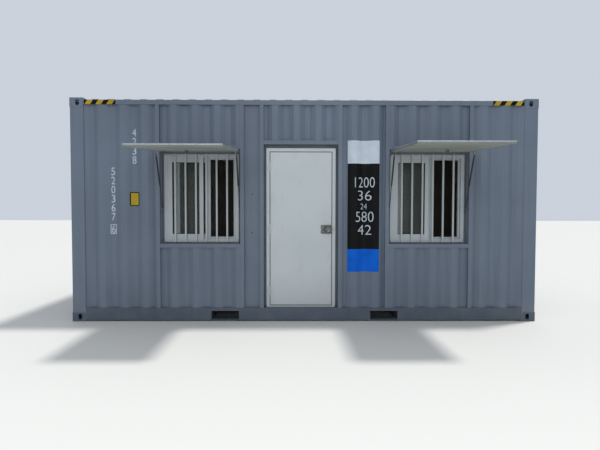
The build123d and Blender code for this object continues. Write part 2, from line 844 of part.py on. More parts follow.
# Brackets on the window reveals for the lower ends of the struts
with BuildPart() as strut_brackets:
    for x in (left_window_x, right_window_x):
        for sx in (-1, 1):
            jamb = x + sx * window_bay / 2
            block(
                jamb, jamb - sx * bracket_t, lower_y - bracket_w / 2, lower_y + bracket_w / 2,
                lower_z - bracket_h / 2, lower_z + bracket_h / 2,
            )
            rod_between(
                (jamb, lower_y, lower_z), (-sx, 0, 0), stud_r, strut_offset - eye_t / 2 - bracket_gap,
            )
save(strut_brackets, "strut_brackets")

# Flaps with their linings, hinge halves, strut brackets and struts
for side, x, droop in (("left", left_window_x, left_droop_angle), ("right", right_window_x, right_droop_angle)):
    plane = flap_plane(x, droop)
    half_flap = window_bay / 2 - flap_gap
    under = -(flap_face + flap_t)
    board_under = under + board_inset
    far = -(flap_start + flap_len)
    with BuildPart() as flap_skin_part:
        local_block(plane, -half_flap, half_flap, far, -flap_start, under, -flap_face)
        local_block(
            plane, -half_flap + flap_skin, half_flap - flap_skin, far + flap_skin, -flap_start - flap_skin,
            under, -flap_face - flap_skin, Mode.SUBTRACT,
        )
    save(flap_skin_part, side + "_flap")

    with BuildPart() as flap_lining:
        local_block(
            plane, -half_flap + flap_skin, half_flap - flap_skin, far + flap_skin, -flap_start - flap_skin,
            board_under, board_under + flap_board,
        )
    save(flap_lining, side + "_flap_lining")

    with BuildPart() as flap_fittings:
        for mid in (-hinge_spread, 0, hinge_spread):
            high = mid + hinge_l / 2
            rod_between(
                (x + mid + knuckle_gap, hinge_y, hinge_z), (1, 0, 0), hinge_r, hinge_l / 2 - knuckle_gap,
            )
            local_block(
                plane, mid + knuckle_gap, high, -hinge_start, 0, -flap_face, -flap_face + hinge_plate_t,
            )
            local_block(
                plane, high - hinge_l, high, -hinge_start - hinge_plate, -hinge_start,
                -flap_face, -flap_face + hinge_plate_t,
            )
            rod_between(
                (x + mid + knuckle_gap, hinge_y, hinge_z), (1, 0, 0), hinge_pin_r + pin_clearance,
                hinge_l / 2 - pin_short, mode=Mode.SUBTRACT,
            )
        for sx in (-1, 1):
            web = sx * (window_bay / 2 - strut_offset - eye_t / 2 - bracket_gap)
            local_block(
                plane, web, web - sx * bracket_w, -upper_along - bracket_h / 2, -upper_along + bracket_h / 2,
                board_under - bracket_t, board_under,
            )
            local_block(
                plane, web, web - sx * bracket_t, -upper_along - ear_w / 2, -upper_along + ear_w / 2,
                -upper_below - eye_r, board_under,
            )
            stud_start = plane.from_local_coords(Vector(web, -upper_along, -upper_below))
            rod_between(stud_start, (sx, 0, 0), stud_r, eye_t + bracket_gap)
    save(flap_fittings, side + "_flap_fittings")

    upper = plane.from_local_coords(Vector(0, -upper_along, -upper_below))
    run = hypot(lower_y - upper.Y, lower_z - upper.Z)
    along = (0, (lower_y - upper.Y) / run, (lower_z - upper.Z) / run)
    strut_x = [x + sx * (window_bay / 2 - strut_offset) for sx in (-1, 1)]
    with BuildPart() as cylinders:
        for at in strut_x:
            strut_plane = Plane(origin=(at, upper.Y, upper.Z), x_dir=(1, 0, 0), z_dir=along)
            eye_start = (at - eye_t / 2, upper.Y, upper.Z)
            rod_between(eye_start, (1, 0, 0), eye_r, eye_t)
            local_block(strut_plane, -eye_t / 2, eye_t / 2, -neck_t / 2, neck_t / 2, 0, cylinder_start)
            with BuildSketch(strut_plane.offset(cylinder_start)):
                Circle(cylinder_r)
            extrude(amount=cylinder_end - cylinder_start)
            with BuildSketch(strut_plane.offset(cylinder_start + cylinder_cap)):
                Circle(cylinder_bore)
            extrude(amount=cylinder_end - gland_l - cylinder_start - cylinder_cap, mode=Mode.SUBTRACT)
            with BuildSketch(strut_plane.offset(cylinder_end - gland_l)):
                Circle(rod_r + pin_clearance)
            extrude(amount=gland_l, mode=Mode.SUBTRACT)
            rod_between(eye_start, (1, 0, 0), stud_r + pin_clearance, eye_t, mode=Mode.SUBTRACT)
    save(cylinders, side + "_strut_cylinders")

    with BuildPart() as rods:
        for at in strut_x:
            strut_plane = Plane(origin=(at, upper.Y, upper.Z), x_dir=(1, 0, 0), z_dir=along)
            with BuildSketch(strut_plane.offset(cylinder_end - rod_hidden)):
                Circle(rod_r)
            extrude(amount=run - cylinder_end + rod_hidden)
            with BuildSketch(strut_plane.offset(cylinder_end - rod_hidden)):
                Circle(piston_r)
            extrude(amount=piston_l)
            eye_start = (at - eye_t / 2, lower_y, lower_z)
            rod_between(eye_start, (1, 0, 0), eye_r, eye_t)
            rod_between(eye_start, (1, 0, 0), stud_r + pin_clearance, eye_t, mode=Mode.SUBTRACT)
    save(rods, side + "_strut_rods")
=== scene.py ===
import json
import random
from math import pi, radians

import bmesh
import bpy
from mathutils import Matrix, Vector
from mathutils.bvhtree import BVHTree


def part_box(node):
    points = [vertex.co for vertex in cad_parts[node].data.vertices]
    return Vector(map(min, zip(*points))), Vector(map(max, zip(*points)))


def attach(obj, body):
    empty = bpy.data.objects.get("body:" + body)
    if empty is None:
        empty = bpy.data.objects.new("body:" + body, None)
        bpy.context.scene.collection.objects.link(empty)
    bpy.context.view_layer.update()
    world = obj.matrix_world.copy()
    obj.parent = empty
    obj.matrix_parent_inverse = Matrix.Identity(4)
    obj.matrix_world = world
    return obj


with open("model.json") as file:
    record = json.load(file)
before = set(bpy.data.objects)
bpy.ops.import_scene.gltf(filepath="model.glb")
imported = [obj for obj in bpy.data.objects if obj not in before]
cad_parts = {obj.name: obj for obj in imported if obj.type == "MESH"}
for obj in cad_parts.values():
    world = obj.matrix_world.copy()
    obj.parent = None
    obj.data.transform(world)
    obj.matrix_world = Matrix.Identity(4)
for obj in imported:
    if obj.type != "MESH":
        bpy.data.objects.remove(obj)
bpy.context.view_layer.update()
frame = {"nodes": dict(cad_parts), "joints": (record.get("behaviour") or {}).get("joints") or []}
nodes = frame["nodes"]
mm = 0.001
print("stage: frame loaded,", len(nodes), "nodes")


# Colours, nodes and materials

def toLinear(hexCode, alpha=1.0):
    channels = [int(hexCode[i:i + 2], 16) / 255 for i in (1, 3, 5)]
    linear = [c / 12.92 if c <= 0.04045 else ((c + 0.055) / 1.055) ** 2.4 for c in channels]
    return (*linear, alpha)


def setInputs(tree, node, inputs):
    # links outputs of other nodes and writes constants straight to the sockets
    for key, value in inputs.items():
        if isinstance(value, bpy.types.NodeSocket):
            tree.links.new(value, node.inputs[key])
        else:
            node.inputs[key].default_value = value


def addNode(tree, kind, settings=None, inputs=None):
    made = tree.nodes.new(kind)
    for name, value in (settings or {}).items():
        setattr(made, name, value)
    setInputs(tree, made, inputs or {})
    return made


def perMetre(sizeMm):
    return 1000 / sizeMm  # texture scale that repeats a pattern every sizeMm


def startMaterial(name):
    material = bpy.data.materials.new(name)
    material.use_nodes = True
    tree = material.node_tree
    place = addNode(tree, "ShaderNodeTexCoord").outputs["Object"]
    return material, tree, tree.nodes["Principled BSDF"], place


def noiseAt(tree, place, sizeMm, stretch=(1, 1, 1), detail=3.0, rough=0.55):
    moved = addNode(tree, "ShaderNodeMapping", inputs={"Vector": place, "Scale": stretch})
    return addNode(tree, "ShaderNodeTexNoise", inputs={
        "Vector": moved.outputs[0], "Scale": perMetre(sizeMm), "Detail": detail, "Roughness": rough,
    }).outputs["Fac"]


def ramp(tree, value, low, high, toLow=0.0, toHigh=1.0):
    return addNode(tree, "ShaderNodeMapRange", {"interpolation_type": "SMOOTHSTEP"}, {
        "Value": value, "From Min": low, "From Max": high, "To Min": toLow, "To Max": toHigh,
    }).outputs[0]


def times(tree, first, second):
    return addNode(tree, "ShaderNodeMath", {"operation": "MULTIPLY"}, {0: first, 1: second}).outputs[0]


def plus(tree, first, second):
    clamped = {"operation": "ADD", "use_clamp": True}
    return addNode(tree, "ShaderNodeMath", clamped, {0: first, 1: second}).outputs[0]


def heightOf(tree, vector):
    return addNode(tree, "ShaderNodeSeparateXYZ", inputs={0: vector}).outputs[2]


def mixColour(tree, factor, first, second):
    # a colour is a hex code or the output of another mix
    first, second = (toLinear(c) if isinstance(c, str) else c for c in (first, second))
    return addNode(tree, "ShaderNodeMix", {"data_type": "RGBA"}, {0: factor, 6: first, 7: second}).outputs[2]


def bumpFrom(tree, height, depthMm, strength=1.0, after=None):
    inputs = {"Height": height, "Distance": depthMm * mm, "Strength": strength}
    if after:
        inputs["Normal"] = after
    return addNode(tree, "ShaderNodeBump", inputs=inputs).outputs[0]


steelCoatLook = {
    "cloudMm": 1100, "streakMm": 60, "streakLength": 0.05, "peelMm": 5, "waveMm": 420,
    "dust": "#8f8c84", "rust": "#5f3a22", "dustTopMm": 420, "spotMm": 26,
}


def steelCoat(name, colour, shade, dusty=0.5, rusty=0.5):
    # marine alkyd sprayed over primed steel: even colour, soft gloss, fine orange peel,
    # sheets that wave a little between their folds, dust low down and on what faces up
    look = steelCoatLook
    material, tree, shader, place = startMaterial(name)
    cloud = noiseAt(tree, place, look["cloudMm"], detail=4)
    streak = noiseAt(tree, place, look["streakMm"], (1, 1, look["streakLength"]), detail=4)
    tone = plus(tree, ramp(tree, cloud, 0.32, 0.7, 0, 0.55), ramp(tree, streak, 0.45, 0.75, 0, 0.45))
    colourNow = mixColour(tree, tone, colour, shade)

    low = ramp(tree, heightOf(tree, place), 0, look["dustTopMm"] * mm, 1, 0)
    top = ramp(tree, heightOf(tree, addNode(tree, "ShaderNodeNewGeometry").outputs["Normal"]), 0.6, 1.0)
    patch = noiseAt(tree, place, 160, detail=6)
    dust = times(tree, plus(tree, times(tree, low, 0.6), top), ramp(tree, patch, 0.3, 0.75, 0.15, 1))
    dust = times(tree, dust, dusty)
    colourNow = mixColour(tree, dust, colourNow, look["dust"])

    spot = ramp(tree, noiseAt(tree, place, look["spotMm"], detail=5), 0.69, 0.74)
    area = ramp(tree, noiseAt(tree, place, 700, detail=2), 0.5, 0.66)
    rust = times(tree, times(tree, spot, area), rusty)
    colourNow = mixColour(tree, rust, colourNow, look["rust"])

    rough = plus(tree, ramp(tree, cloud, 0.3, 0.7, 0.4, 0.52), times(tree, plus(tree, dust, rust), 0.4))
    wave = bumpFrom(tree, noiseAt(tree, place, look["waveMm"], (1, 1, 0.6), detail=1), 6, 0.35)
    peel = bumpFrom(tree, noiseAt(tree, place, look["peelMm"], detail=1), 0.15, 0.5, wave)
    setInputs(tree, shader, {"Base Color": colourNow, "Roughness": rough, "Normal": peel, "IOR": 1.5})
    return material


def powderCoat(name, colour, shade, smudge=0.35):
    # white polyester powder baked on thin steel: smooth, a little gloss, hand marks and road dust
    material, tree, shader, place = startMaterial(name)
    cloud = noiseAt(tree, place, 600, detail=4)
    mark = noiseAt(tree, place, 90, (1, 1, 0.35), detail=6)
    low = ramp(tree, heightOf(tree, place), 0.2, 0.75, 1, 0)
    dirt = times(tree, plus(tree, times(tree, low, 0.5), ramp(tree, mark, 0.55, 0.8, 0, 0.5)), smudge)
    colourNow = mixColour(tree, ramp(tree, cloud, 0.35, 0.7, 0, 0.6), colour, shade)
    wave = bumpFrom(tree, noiseAt(tree, place, 500, detail=1), 3, 0.25)
    setInputs(tree, shader, {
        "Base Color": mixColour(tree, dirt, colourNow, "#8d897f"),
        "Roughness": ramp(tree, mark, 0.3, 0.8, 0.32, 0.5),
        "Normal": bumpFrom(tree, noiseAt(tree, place, 4, detail=1), 0.08, 0.4, wave),
    })
    return material


def extrudedVinyl(name, colour, shade):
    # white rigid PVC profile: extruded along its length, satin, with faint draw lines and settled dust
    material, tree, shader, place = startMaterial(name)
    cloud = noiseAt(tree, place, 350, detail=5)
    dirt = ramp(tree, noiseAt(tree, place, 45, (1, 1, 0.4), detail=6), 0.55, 0.8, 0, 0.3)
    colourNow = mixColour(tree, ramp(tree, cloud, 0.3, 0.7), colour, shade)
    setInputs(tree, shader, {
        "Base Color": mixColour(tree, dirt, colourNow, "#9b978c"), "Roughness": 0.33, "IOR": 1.53,
        "Normal": bumpFrom(tree, noiseAt(tree, place, 2, (1, 1, 0.01), detail=0), 0.04, 0.5),
    })
    return material


def floatGlass(name):
    # clear soda-lime float glass: flat, faintly green, with a film of dust. Its grey-green base colour is
    # that tint with painted reflection of the surroundings in it. It is see-through by its alpha, so that
    # light reaches the sash behind it.
    material, tree, shader, place = startMaterial(name)
    film = ramp(tree, noiseAt(tree, place, 120, detail=6), 0.35, 0.8, 0.0, 0.1)
    setInputs(tree, shader, {"Base Color": toLinear("#59625e"), "Roughness": film, "Alpha": 0.14,
                             "Specular IOR Level": 0.3, "IOR": 1.52})
    return material


def plywood(name, colour, dark, sheen=0.45, grainMm=3.0, along=(0.03, 1, 1)):
    # peeled veneer: long grain along the sheet, knots blurred out, sealed but not glossy
    material, tree, shader, place = startMaterial(name)
    grain = noiseAt(tree, place, grainMm, along, detail=4, rough=0.7)
    sweep = noiseAt(tree, place, 260, (0.25, 1, 1), detail=3)
    colourNow = mixColour(tree, ramp(tree, grain, 0.35, 0.7), colour, dark)
    setInputs(tree, shader, {
        "Base Color": mixColour(tree, ramp(tree, sweep, 0.4, 0.75, 0, 0.5), colourNow, dark),
        "Roughness": sheen, "Normal": bumpFrom(tree, grain, 0.2, 0.4),
    })
    return material


def paintedBoard(name, colour, shade):
    # rolled emulsion on board: matt, with the roller's fine stipple and a few scuffs
    material, tree, shader, place = startMaterial(name)
    cloud = noiseAt(tree, place, 500, detail=5)
    scuff = ramp(tree, noiseAt(tree, place, 70, (1, 1, 0.6), detail=6), 0.62, 0.8, 0, 0.35)
    colourNow = mixColour(tree, ramp(tree, cloud, 0.3, 0.7), colour, shade)
    setInputs(tree, shader, {
        "Base Color": mixColour(tree, scuff, colourNow, "#847f73"), "Roughness": 0.7,
        "Normal": bumpFrom(tree, noiseAt(tree, place, 3, detail=1), 0.15, 0.5),
    })
    return material


def platedSteel(name, colour, dark, rough=0.38, metal=1.0):
    # zinc-plated or cast metal: grey, softly mirror-like, dull where handled
    material, tree, shader, place = startMaterial(name)
    patch = noiseAt(tree, place, 18, detail=5)
    setInputs(tree, shader, {
        "Base Color": mixColour(tree, ramp(tree, patch, 0.35, 0.7), colour, dark), "Metallic": metal,
        "Roughness": ramp(tree, patch, 0.3, 0.75, rough, rough + 0.18),
        "Normal": bumpFrom(tree, noiseAt(tree, place, 3, detail=2), 0.05, 0.4),
    })
    return material


def extrudedRubber(name, colour, worn):
    # EPDM seal: matt, with a pale bloom
    material, tree, shader, place = startMaterial(name)
    bloom = ramp(tree, noiseAt(tree, place, 30, detail=4), 0.4, 0.75)
    setInputs(tree, shader, {
        "Base Color": mixColour(tree, bloom, colour, worn), "Roughness": 0.75,
        "Normal": bumpFrom(tree, noiseAt(tree, place, 2, detail=1), 0.05, 0.4),
    })
    return material


def siliconeSealant(name, colour):
    # gunned silicone: smooth, rubbery sheen, dust stuck along it
    material, tree, shader, place = startMaterial(name)
    dust = ramp(tree, noiseAt(tree, place, 25, detail=5), 0.5, 0.8, 0, 0.5)
    setInputs(tree, shader, {
        "Base Color": mixColour(tree, dust, colour, "#7c776c"), "Roughness": 0.42, "IOR": 1.41,
        "Normal": bumpFrom(tree, noiseAt(tree, place, 12, detail=2), 0.3, 0.4),
    })
    return material


def vinylFilm(name, colour, shade):
    # cast sign film pressed over the folds: even colour, satin, small wrinkles and specks of dust
    material, tree, shader, place = startMaterial(name)
    cloud = noiseAt(tree, place, 240, detail=4)
    speck = ramp(tree, noiseAt(tree, place, 9, detail=3), 0.66, 0.76, 0, 0.35)
    colourNow = mixColour(tree, ramp(tree, cloud, 0.35, 0.7), colour, shade)
    setInputs(tree, shader, {
        "Base Color": mixColour(tree, speck, colourNow, "#9a958b"),
        "Roughness": ramp(tree, cloud, 0.3, 0.7, 0.42, 0.54), "Specular IOR Level": 0.1,
        "Normal": bumpFrom(tree, noiseAt(tree, place, 35, (1, 1, 0.3), detail=2), 0.4, 0.35),
    })
    return material


containerCoat = steelCoat("marineCoatSteel", "#616d7c", "#566170", dusty=0.35)
railCoat = steelCoat("marineCoatRail", "#44515f", "#3c4855", dusty=0.25, rusty=1.0)
roofCoat = steelCoat("marineCoatRoof", "#66727f", "#5a6572", dusty=0.7)
doorCoat = powderCoat("powderCoatWhite", "#b6bdc0", "#adb4b7")
# frames, sashes and pulls: white vinyl greyed down, painted shade of the raised flaps over the windows
shadedWindowVinyl = extrudedVinyl("extrudedVinylWhiteShaded", "#a9b1b5", "#9fa7ab")
# window bars: white powder coat greyed down, painted shade of the raised flaps over the windows
shadedBarCoat = powderCoat("powderCoatBarShaded", "#a6acae", "#9aa0a2", smudge=0.6)
paneGlass = floatGlass("floatGlassClear")
floorPly = plywood("plywoodFloor", "#76573a", "#553b25")
liningBoard = paintedBoard("liningBoardCream", "#8d897d", "#827e72")
flapBoard = paintedBoard("flapBoardGrey", "#929890", "#868b83")
# the lining's board colour darkened: painted shade on the flaps' front rims
shadedRimBoard = paintedBoard("flapRimShadedGrey", "#787d76", "#6e736c")
packerBoard = paintedBoard("packerBoardGrey", "#7c868f", "#727c85")
zincSteel = platedSteel("zincPlatedSteel", "#a8abad", "#8d9092")
# flap edge angles: pale aluminium whose brightness is partly painted highlight of sun on the flaps' top edges
edgeAlloyAndHighlight = platedSteel("aluminiumEdgeWithPaintedHighlight", "#adb4ba", "#9aa1a7", rough=0.42)
lockAlloy = platedSteel("lockDieCastZinc", "#6f7573", "#565b5a", rough=0.45, metal=0.7)
strutCoat = platedSteel("strutBlackCoat", "#0c0d0f", "#131416", rough=0.4, metal=0.0)
rodNitride = platedSteel("rodBlackNitride", "#141517", "#1c1d1f", rough=0.3, metal=0.2)
sealRubber = extrudedRubber("sealRubberBlack", "#1c1d1e", "#33342f")
doorRubber = extrudedRubber("sealRubberGrey", "#6c7274", "#777b7a")
trimVinyl = extrudedVinyl("extrudedTrimVinyl", "#b3b4ad", "#a8a9a2")
sealant = siliconeSealant("siliconeSealantGrey", "#9aa0a3")
filmWhite = vinylFilm("signFilmWhite", "#c0cad4", "#b4bec8")
filmMark = vinylFilm("markFilmPale", "#b9c3cd", "#afb9c3")
filmBlack = vinylFilm("signFilmBlack", "#0b0c0e", "#101114")
filmBlue = vinylFilm("signFilmBlue", "#005ec8", "#0056ba")
filmYellow = vinylFilm("markFilmYellow", "#ab942c", "#9c8626")
print("stage: materials ready")

frontSheets = ("front_sheet_left", "front_sheets_under_windows", "front_sheets_over_windows",
               "front_sheet_over_door", "front_sheet_by_door", "front_sheet_sign_bay", "front_sheet_right")
finishes = {
    containerCoat: [
        *frontSheets, "back_sheet", "left_end_sheet", "right_end_sheet", "corner_posts", "top_side_rails",
        "top_end_rails", "top_corner_castings", "bay_uprights", "sill_and_head_tubes", "left_flap",
        "right_flap", "flap_hinges_fixed",
    ],
    railCoat: ["bottom_side_rails", "bottom_end_rails", "cross_members", "fork_pockets",
               "bottom_corner_castings"],
    roofCoat: ["roof_sheet"],
    doorCoat: ["door_leaf", "door_frame", "door_hinges_frame", "door_hinges_leaf"],
    shadedWindowVinyl: ["left_window_frame", "right_window_frame", "left_window_sashes", "right_window_sashes"],
    paneGlass: ["left_window_panes", "right_window_panes"],
    floorPly: ["floor_boards"],
    liningBoard: ["front_lining", "back_lining", "end_linings", "ceiling_boards"],
    packerBoard: ["window_reveals", "door_reveal", "window_packers", "door_packer", "door_core"],
    flapBoard: ["left_flap_lining", "right_flap_lining"],
    zincSteel: ["left_flap_fittings", "right_flap_fittings", "strut_brackets", "lock_lug"],
    lockAlloy: ["hasp_plate", "puck_lock"],
    strutCoat: ["left_strut_cylinders", "right_strut_cylinders"],
    rodNitride: ["left_strut_rods", "right_strut_rods"],
}
for finish, names in finishes.items():
    for name in names:
        nodes[name].data.materials.clear()
        nodes[name].data.materials.append(finish)
bare = sorted(set(nodes) - {name for names in finishes.values() for name in names})
print("stage: nodes finished, left over:", bare)


# Shapes

forward = Vector((0, -1, 0))  # out of the cabin's front


def turnTo(direction, axis="Z"):
    return direction.to_track_quat(axis, "Y").to_matrix().to_4x4()


def extent(points):
    # the lowest and the highest corner of the box round some points
    return [Vector([pick(point[i] for point in points) for i in range(3)]) for pick in (min, max)]


def newObject(name, data):
    made = bpy.data.objects.new(name, data)
    bpy.context.scene.collection.objects.link(made)
    return made


def roundEdges(bm, edges, radiusMm):
    bmesh.ops.bevel(bm, geom=edges, offset=radiusMm * mm, offset_type="OFFSET", segments=2, profile=0.5,
                    material=-1, affect="EDGES")


def addBox(bm, corner, opposite, bevelMm=0.0):
    low, high = extent((corner, opposite))
    place = Matrix.Translation((low + high) / 2) @ Matrix.Diagonal((*(high - low), 1))
    made = bmesh.ops.create_cube(bm, size=1, matrix=place)["verts"]
    if bevelMm:
        roundEdges(bm, list({edge for vert in made for edge in vert.link_edges}), bevelMm)


def addRod(bm, start, end, radius, sides=16, endRadius=None):
    start, end = Vector(start), Vector(end)
    run = end - start
    return bmesh.ops.create_cone(bm, cap_ends=True, segments=sides, radius1=radius,
                                 radius2=radius if endRadius is None else endRadius, depth=run.length,
                                 matrix=Matrix.Translation((start + end) / 2) @ turnTo(run))["verts"]


def addPlate(bm, x0, x1, z0, z1, y):
    corners = [bm.verts.new((x, y, z)) for x, z in ((x0, z0), (x1, z0), (x1, z1), (x0, z1))]
    face = bm.faces.new(corners)
    face.normal_update()
    return face


def keepRim(bm, face, wide):
    # cuts the middle out of a flat face and returns the rim that stays
    rim = bmesh.ops.inset_region(bm, faces=[face], thickness=wide, use_boundary=True,
                                 use_even_offset=True)["faces"]
    bmesh.ops.delete(bm, geom=[face], context="FACES_ONLY")
    return rim


def thicken(bm, faces, step):
    # makes solid films of flat faces
    grown = bmesh.ops.extrude_face_region(bm, geom=faces, use_keep_orig=True)["geom"]
    bmesh.ops.translate(bm, vec=step, verts=[g for g in grown if isinstance(g, bmesh.types.BMVert)])


def cutAcross(bm, point, normal):
    bmesh.ops.bisect_plane(bm, geom=bm.verts[:] + bm.edges[:] + bm.faces[:], plane_co=point, plane_no=normal)


def addRing(bm, x0, x1, z0, z1, rim, y, deep):
    # a flat frame in the front plane, from y to y + deep
    thicken(bm, keepRim(bm, addPlate(bm, x0, x1, z0, z1, y), rim), (0, deep, 0))


screwLook = {"washerMm": (6.5, 1.2), "washerTaper": 0.8, "headMm": (4.4, 3.4), "headTaper": 0.9}


def addScrew(bm, place, out):
    # hexagon head on a pressed washer
    washerRadius, washerHigh = (size * mm for size in screwLook["washerMm"])
    headRadius, headHigh = (size * mm for size in screwLook["headMm"])
    foot = Vector(place)
    washer = foot + out * washerHigh
    addRod(bm, foot - out * mm, washer, washerRadius, 10, washerRadius * screwLook["washerTaper"])
    addRod(bm, washer, washer + out * headHigh, headRadius, 6, headRadius * screwLook["headTaper"])


def addDome(bm, place, out, radiusMm, heightMm):
    # low domed head, as on a carriage bolt or rivet
    flat = Matrix.Diagonal((radiusMm * mm, radiusMm * mm, heightMm * mm, 1))
    bmesh.ops.create_uvsphere(bm, u_segments=12, v_segments=6, radius=1,
                              matrix=Matrix.Translation(place) @ turnTo(out) @ flat)


beadLook = {"stepMm": 14, "ripple": 0.22}
beadRandom = random.Random(11)


def addBead(bm, start, end, radiusMm):
    # a weld run: a round bead that swells and narrows as the torch moved
    start, end = Vector(start), Vector(end)
    made = addRod(bm, start, end, radiusMm * mm, 6)
    run = end - start
    direction = run.normalized()
    cuts = max(1, int(run.length / (beadLook["stepMm"] * mm)))
    long = [e for e in {edge for vert in made for edge in vert.link_edges}
            if abs((e.verts[0].co - e.verts[1].co).normalized().dot(direction)) > 0.99]
    split = bmesh.ops.subdivide_edges(bm, edges=long, cuts=cuts, use_grid_fill=False)["geom_inner"]
    swell = {}
    for vert in (g for g in split if isinstance(g, bmesh.types.BMVert)):
        along = (vert.co - start).dot(direction)
        step = round(along / run.length * (cuts + 1))
        if step not in swell:
            swell[step] = 1 + beadLook["ripple"] * (beadRandom.random() - 0.5) * 2
        axis = start + direction * along
        vert.co = axis + (vert.co - axis) * swell[step]


def makePiece(name, bm, material, body="cabin", smoothDegrees=None):
    bmesh.ops.recalc_face_normals(bm, faces=bm.faces[:])
    mesh = bpy.data.meshes.new(name)
    bm.to_mesh(mesh)
    bm.free()
    for each in material if isinstance(material, list) else [material]:
        mesh.materials.append(each)
    piece = newObject(name, mesh)
    if smoothDegrees:
        mesh.shade_smooth()
        mesh.set_sharp_from_angle(angle=radians(smoothDegrees))
    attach(piece, body)
    return piece


def solidBoxes(nodeName):
    # the lowest and highest corner of each solid in a CAD node, from left to right
    bm = bmesh.new()
    bm.from_mesh(nodes[nodeName].data)
    bmesh.ops.remove_doubles(bm, verts=bm.verts[:], dist=0.00001)
    seen, boxes = set(), []
    for vert in bm.verts:
        if vert in seen:
            continue
        todo, island = [vert], []
        seen.add(vert)
        while todo:
            now = todo.pop()
            island.append(now.co.copy())
            for edge in now.link_edges:
                other = edge.other_vert(now)
                if other not in seen:
                    seen.add(other)
                    todo.append(other)
        boxes.append(extent(island))
    bm.free()
    return sorted(boxes, key=lambda pair: (round(pair[0].x, 3), round(pair[0].z, 3), round(pair[0].y, 3)))


drawnY = -2  # films are drawn flat in this plane in front of the wall
raysY = -3   # and rays from this one find where they lie on it


def layOnSheet(bm, nodeName, liftMm, thickMm):
    # bends a flat film over the folds of a front sheet
    for x in sorted({round(v.co.x, 4) for v in nodes[nodeName].data.vertices}):
        cutAcross(bm, (x, 0, 0), (1, 0, 0))
    sheet = BVHTree.FromObject(nodes[nodeName], bpy.context.evaluated_depsgraph_get())
    for vert in bm.verts:
        hit = sheet.ray_cast(Vector((vert.co.x, raysY, vert.co.z)), -forward)[0]
        vert.co.y = hit.y - liftMm * mm
    thicken(bm, bm.faces[:], (0, -thickMm * mm, 0))


# Bars in front of the windows

barSet = {"count": 6, "pitchMm": 136, "wideMm": 22, "flatHighMm": 26, "flatMm": 5, "flatInMm": (6, 8),
          "standOffMm": 0.5, "lapMm": 0.2, "screwInMm": 21}


def windowBars(side):
    low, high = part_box(side + "_window_frame")
    middle = (low.x + high.x) / 2
    wide, flatHigh, pitch = (barSet[key] * mm for key in ("wideMm", "flatHighMm", "pitchMm"))
    inX, inZ = (size * mm for size in barSet["flatInMm"])
    flatBack = low.y - barSet["standOffMm"] * mm
    flatFront = flatBack - barSet["flatMm"] * mm
    bm = bmesh.new()
    for z in (low.z + inZ, high.z - inZ - flatHigh):
        addBox(bm, (low.x + inX, flatFront, z), (high.x - inX, flatBack, z + flatHigh), 0.8)
    for k in range(barSet["count"]):
        x = middle + (k - (barSet["count"] - 1) / 2) * pitch
        addBox(bm, (x - wide / 2, flatFront - wide, low.z),
               (x + wide / 2, flatFront + barSet["lapMm"] * mm, high.z), 2)
    makePiece(side + "_window_bars", bm, shadedBarCoat)
    bm = bmesh.new()
    screwIn = barSet["screwInMm"] * mm
    for z in (low.z + screwIn, high.z - screwIn):
        for k in range(barSet["count"] + 1):
            addScrew(bm, (middle + (k - barSet["count"] / 2) * pitch, flatFront, z), forward)
    makePiece(side + "_bar_screws", bm, zincSteel)


for side in ("left", "right"):
    windowBars(side)
print("stage: window bars")


# Places read from the CAD

joints = {joint["name"]: joint for joint in frame["joints"]}


def flapPlace(side):
    # origin on the hinge line at the flap's middle, y towards the wall, z up through the raised flap
    joint = joints[side + "_flap_hinge"]
    droop = radians(90 - joint["range_deg"][1])
    return Matrix.Translation(joint["pos_m"]) @ Matrix.Rotation(droop, 4, "X")


def localBox(nodeName, place):
    inverse = place.inverted()
    return extent([inverse @ v.co for v in nodes[nodeName].data.vertices])


sheetRead = {"levelMm": 0.5, "nextSheetMm": 400}


def sheetLine(nodeName, z, out=-1, along=0):
    # bends of a folded sheet's outer face at one height, split where one sheet ends and the next begins
    outer = {}
    for vert in nodes[nodeName].data.vertices:
        if abs(vert.co.z - z) < sheetRead["levelMm"] * mm:
            place = round(vert.co[along], 4)
            face = vert.co[1 - along]
            if place not in outer or face * out > outer[place] * out:
                outer[place] = face
    runs, last = [], None
    for place in sorted(outer):
        if last is None or place - last > sheetRead["nextSheetMm"] * mm:
            runs.append([])
        point = [place, place, z]
        point[1 - along] = outer[place]
        runs[-1].append(Vector(point))
        last = place
    return runs


# Sign on the folded sheet beside the door

sign = {"leftMm": 558, "rightMm": 970, "topMm": 2358, "blackTopMm": 2061, "blueTopMm": 946, "bottomMm": 649,
        "filmMm": (0.1, 0.4), "numbersMm": (0.6, 0.2), "thinning": -0.011,
        "rows": (("1200", 651, 908, 1751, 1884), ("36", 690, 869, 1582, 1711), ("24", 729, 813, 1466, 1542),
                 ("580", 664, 895, 1302, 1436), ("42", 690, 868, 1133, 1261))}


def addNumber(bm, digits, x0, x1, z0, z1, thinning=0.0):
    # plain figures, stretched to fill a rectangle of the front plane
    curve = bpy.data.curves.new("digits", "FONT")
    curve.body = digits
    curve.offset = thinning
    text = newObject("digits", curve)
    bpy.context.view_layer.update()
    flat = bpy.data.meshes.new_from_object(text.evaluated_get(bpy.context.evaluated_depsgraph_get()))
    bpy.data.objects.remove(text)
    low, high = extent([v.co for v in flat.vertices])
    for vert in flat.vertices:
        x = x0 + (vert.co.x - low.x) / (high.x - low.x) * (x1 - x0)
        z = z0 + (vert.co.y - low.y) / (high.y - low.y) * (z1 - z0)
        vert.co = (x * mm, drawnY, z * mm)
    bm.from_mesh(flat)
    bpy.data.meshes.remove(flat)


def signFilm(name, z0, z1, material):
    bm = bmesh.new()
    addPlate(bm, sign["leftMm"] * mm, sign["rightMm"] * mm, z0 * mm, z1 * mm, drawnY)
    layOnSheet(bm, "front_sheet_sign_bay", *sign["filmMm"])
    makePiece(name, bm, material)


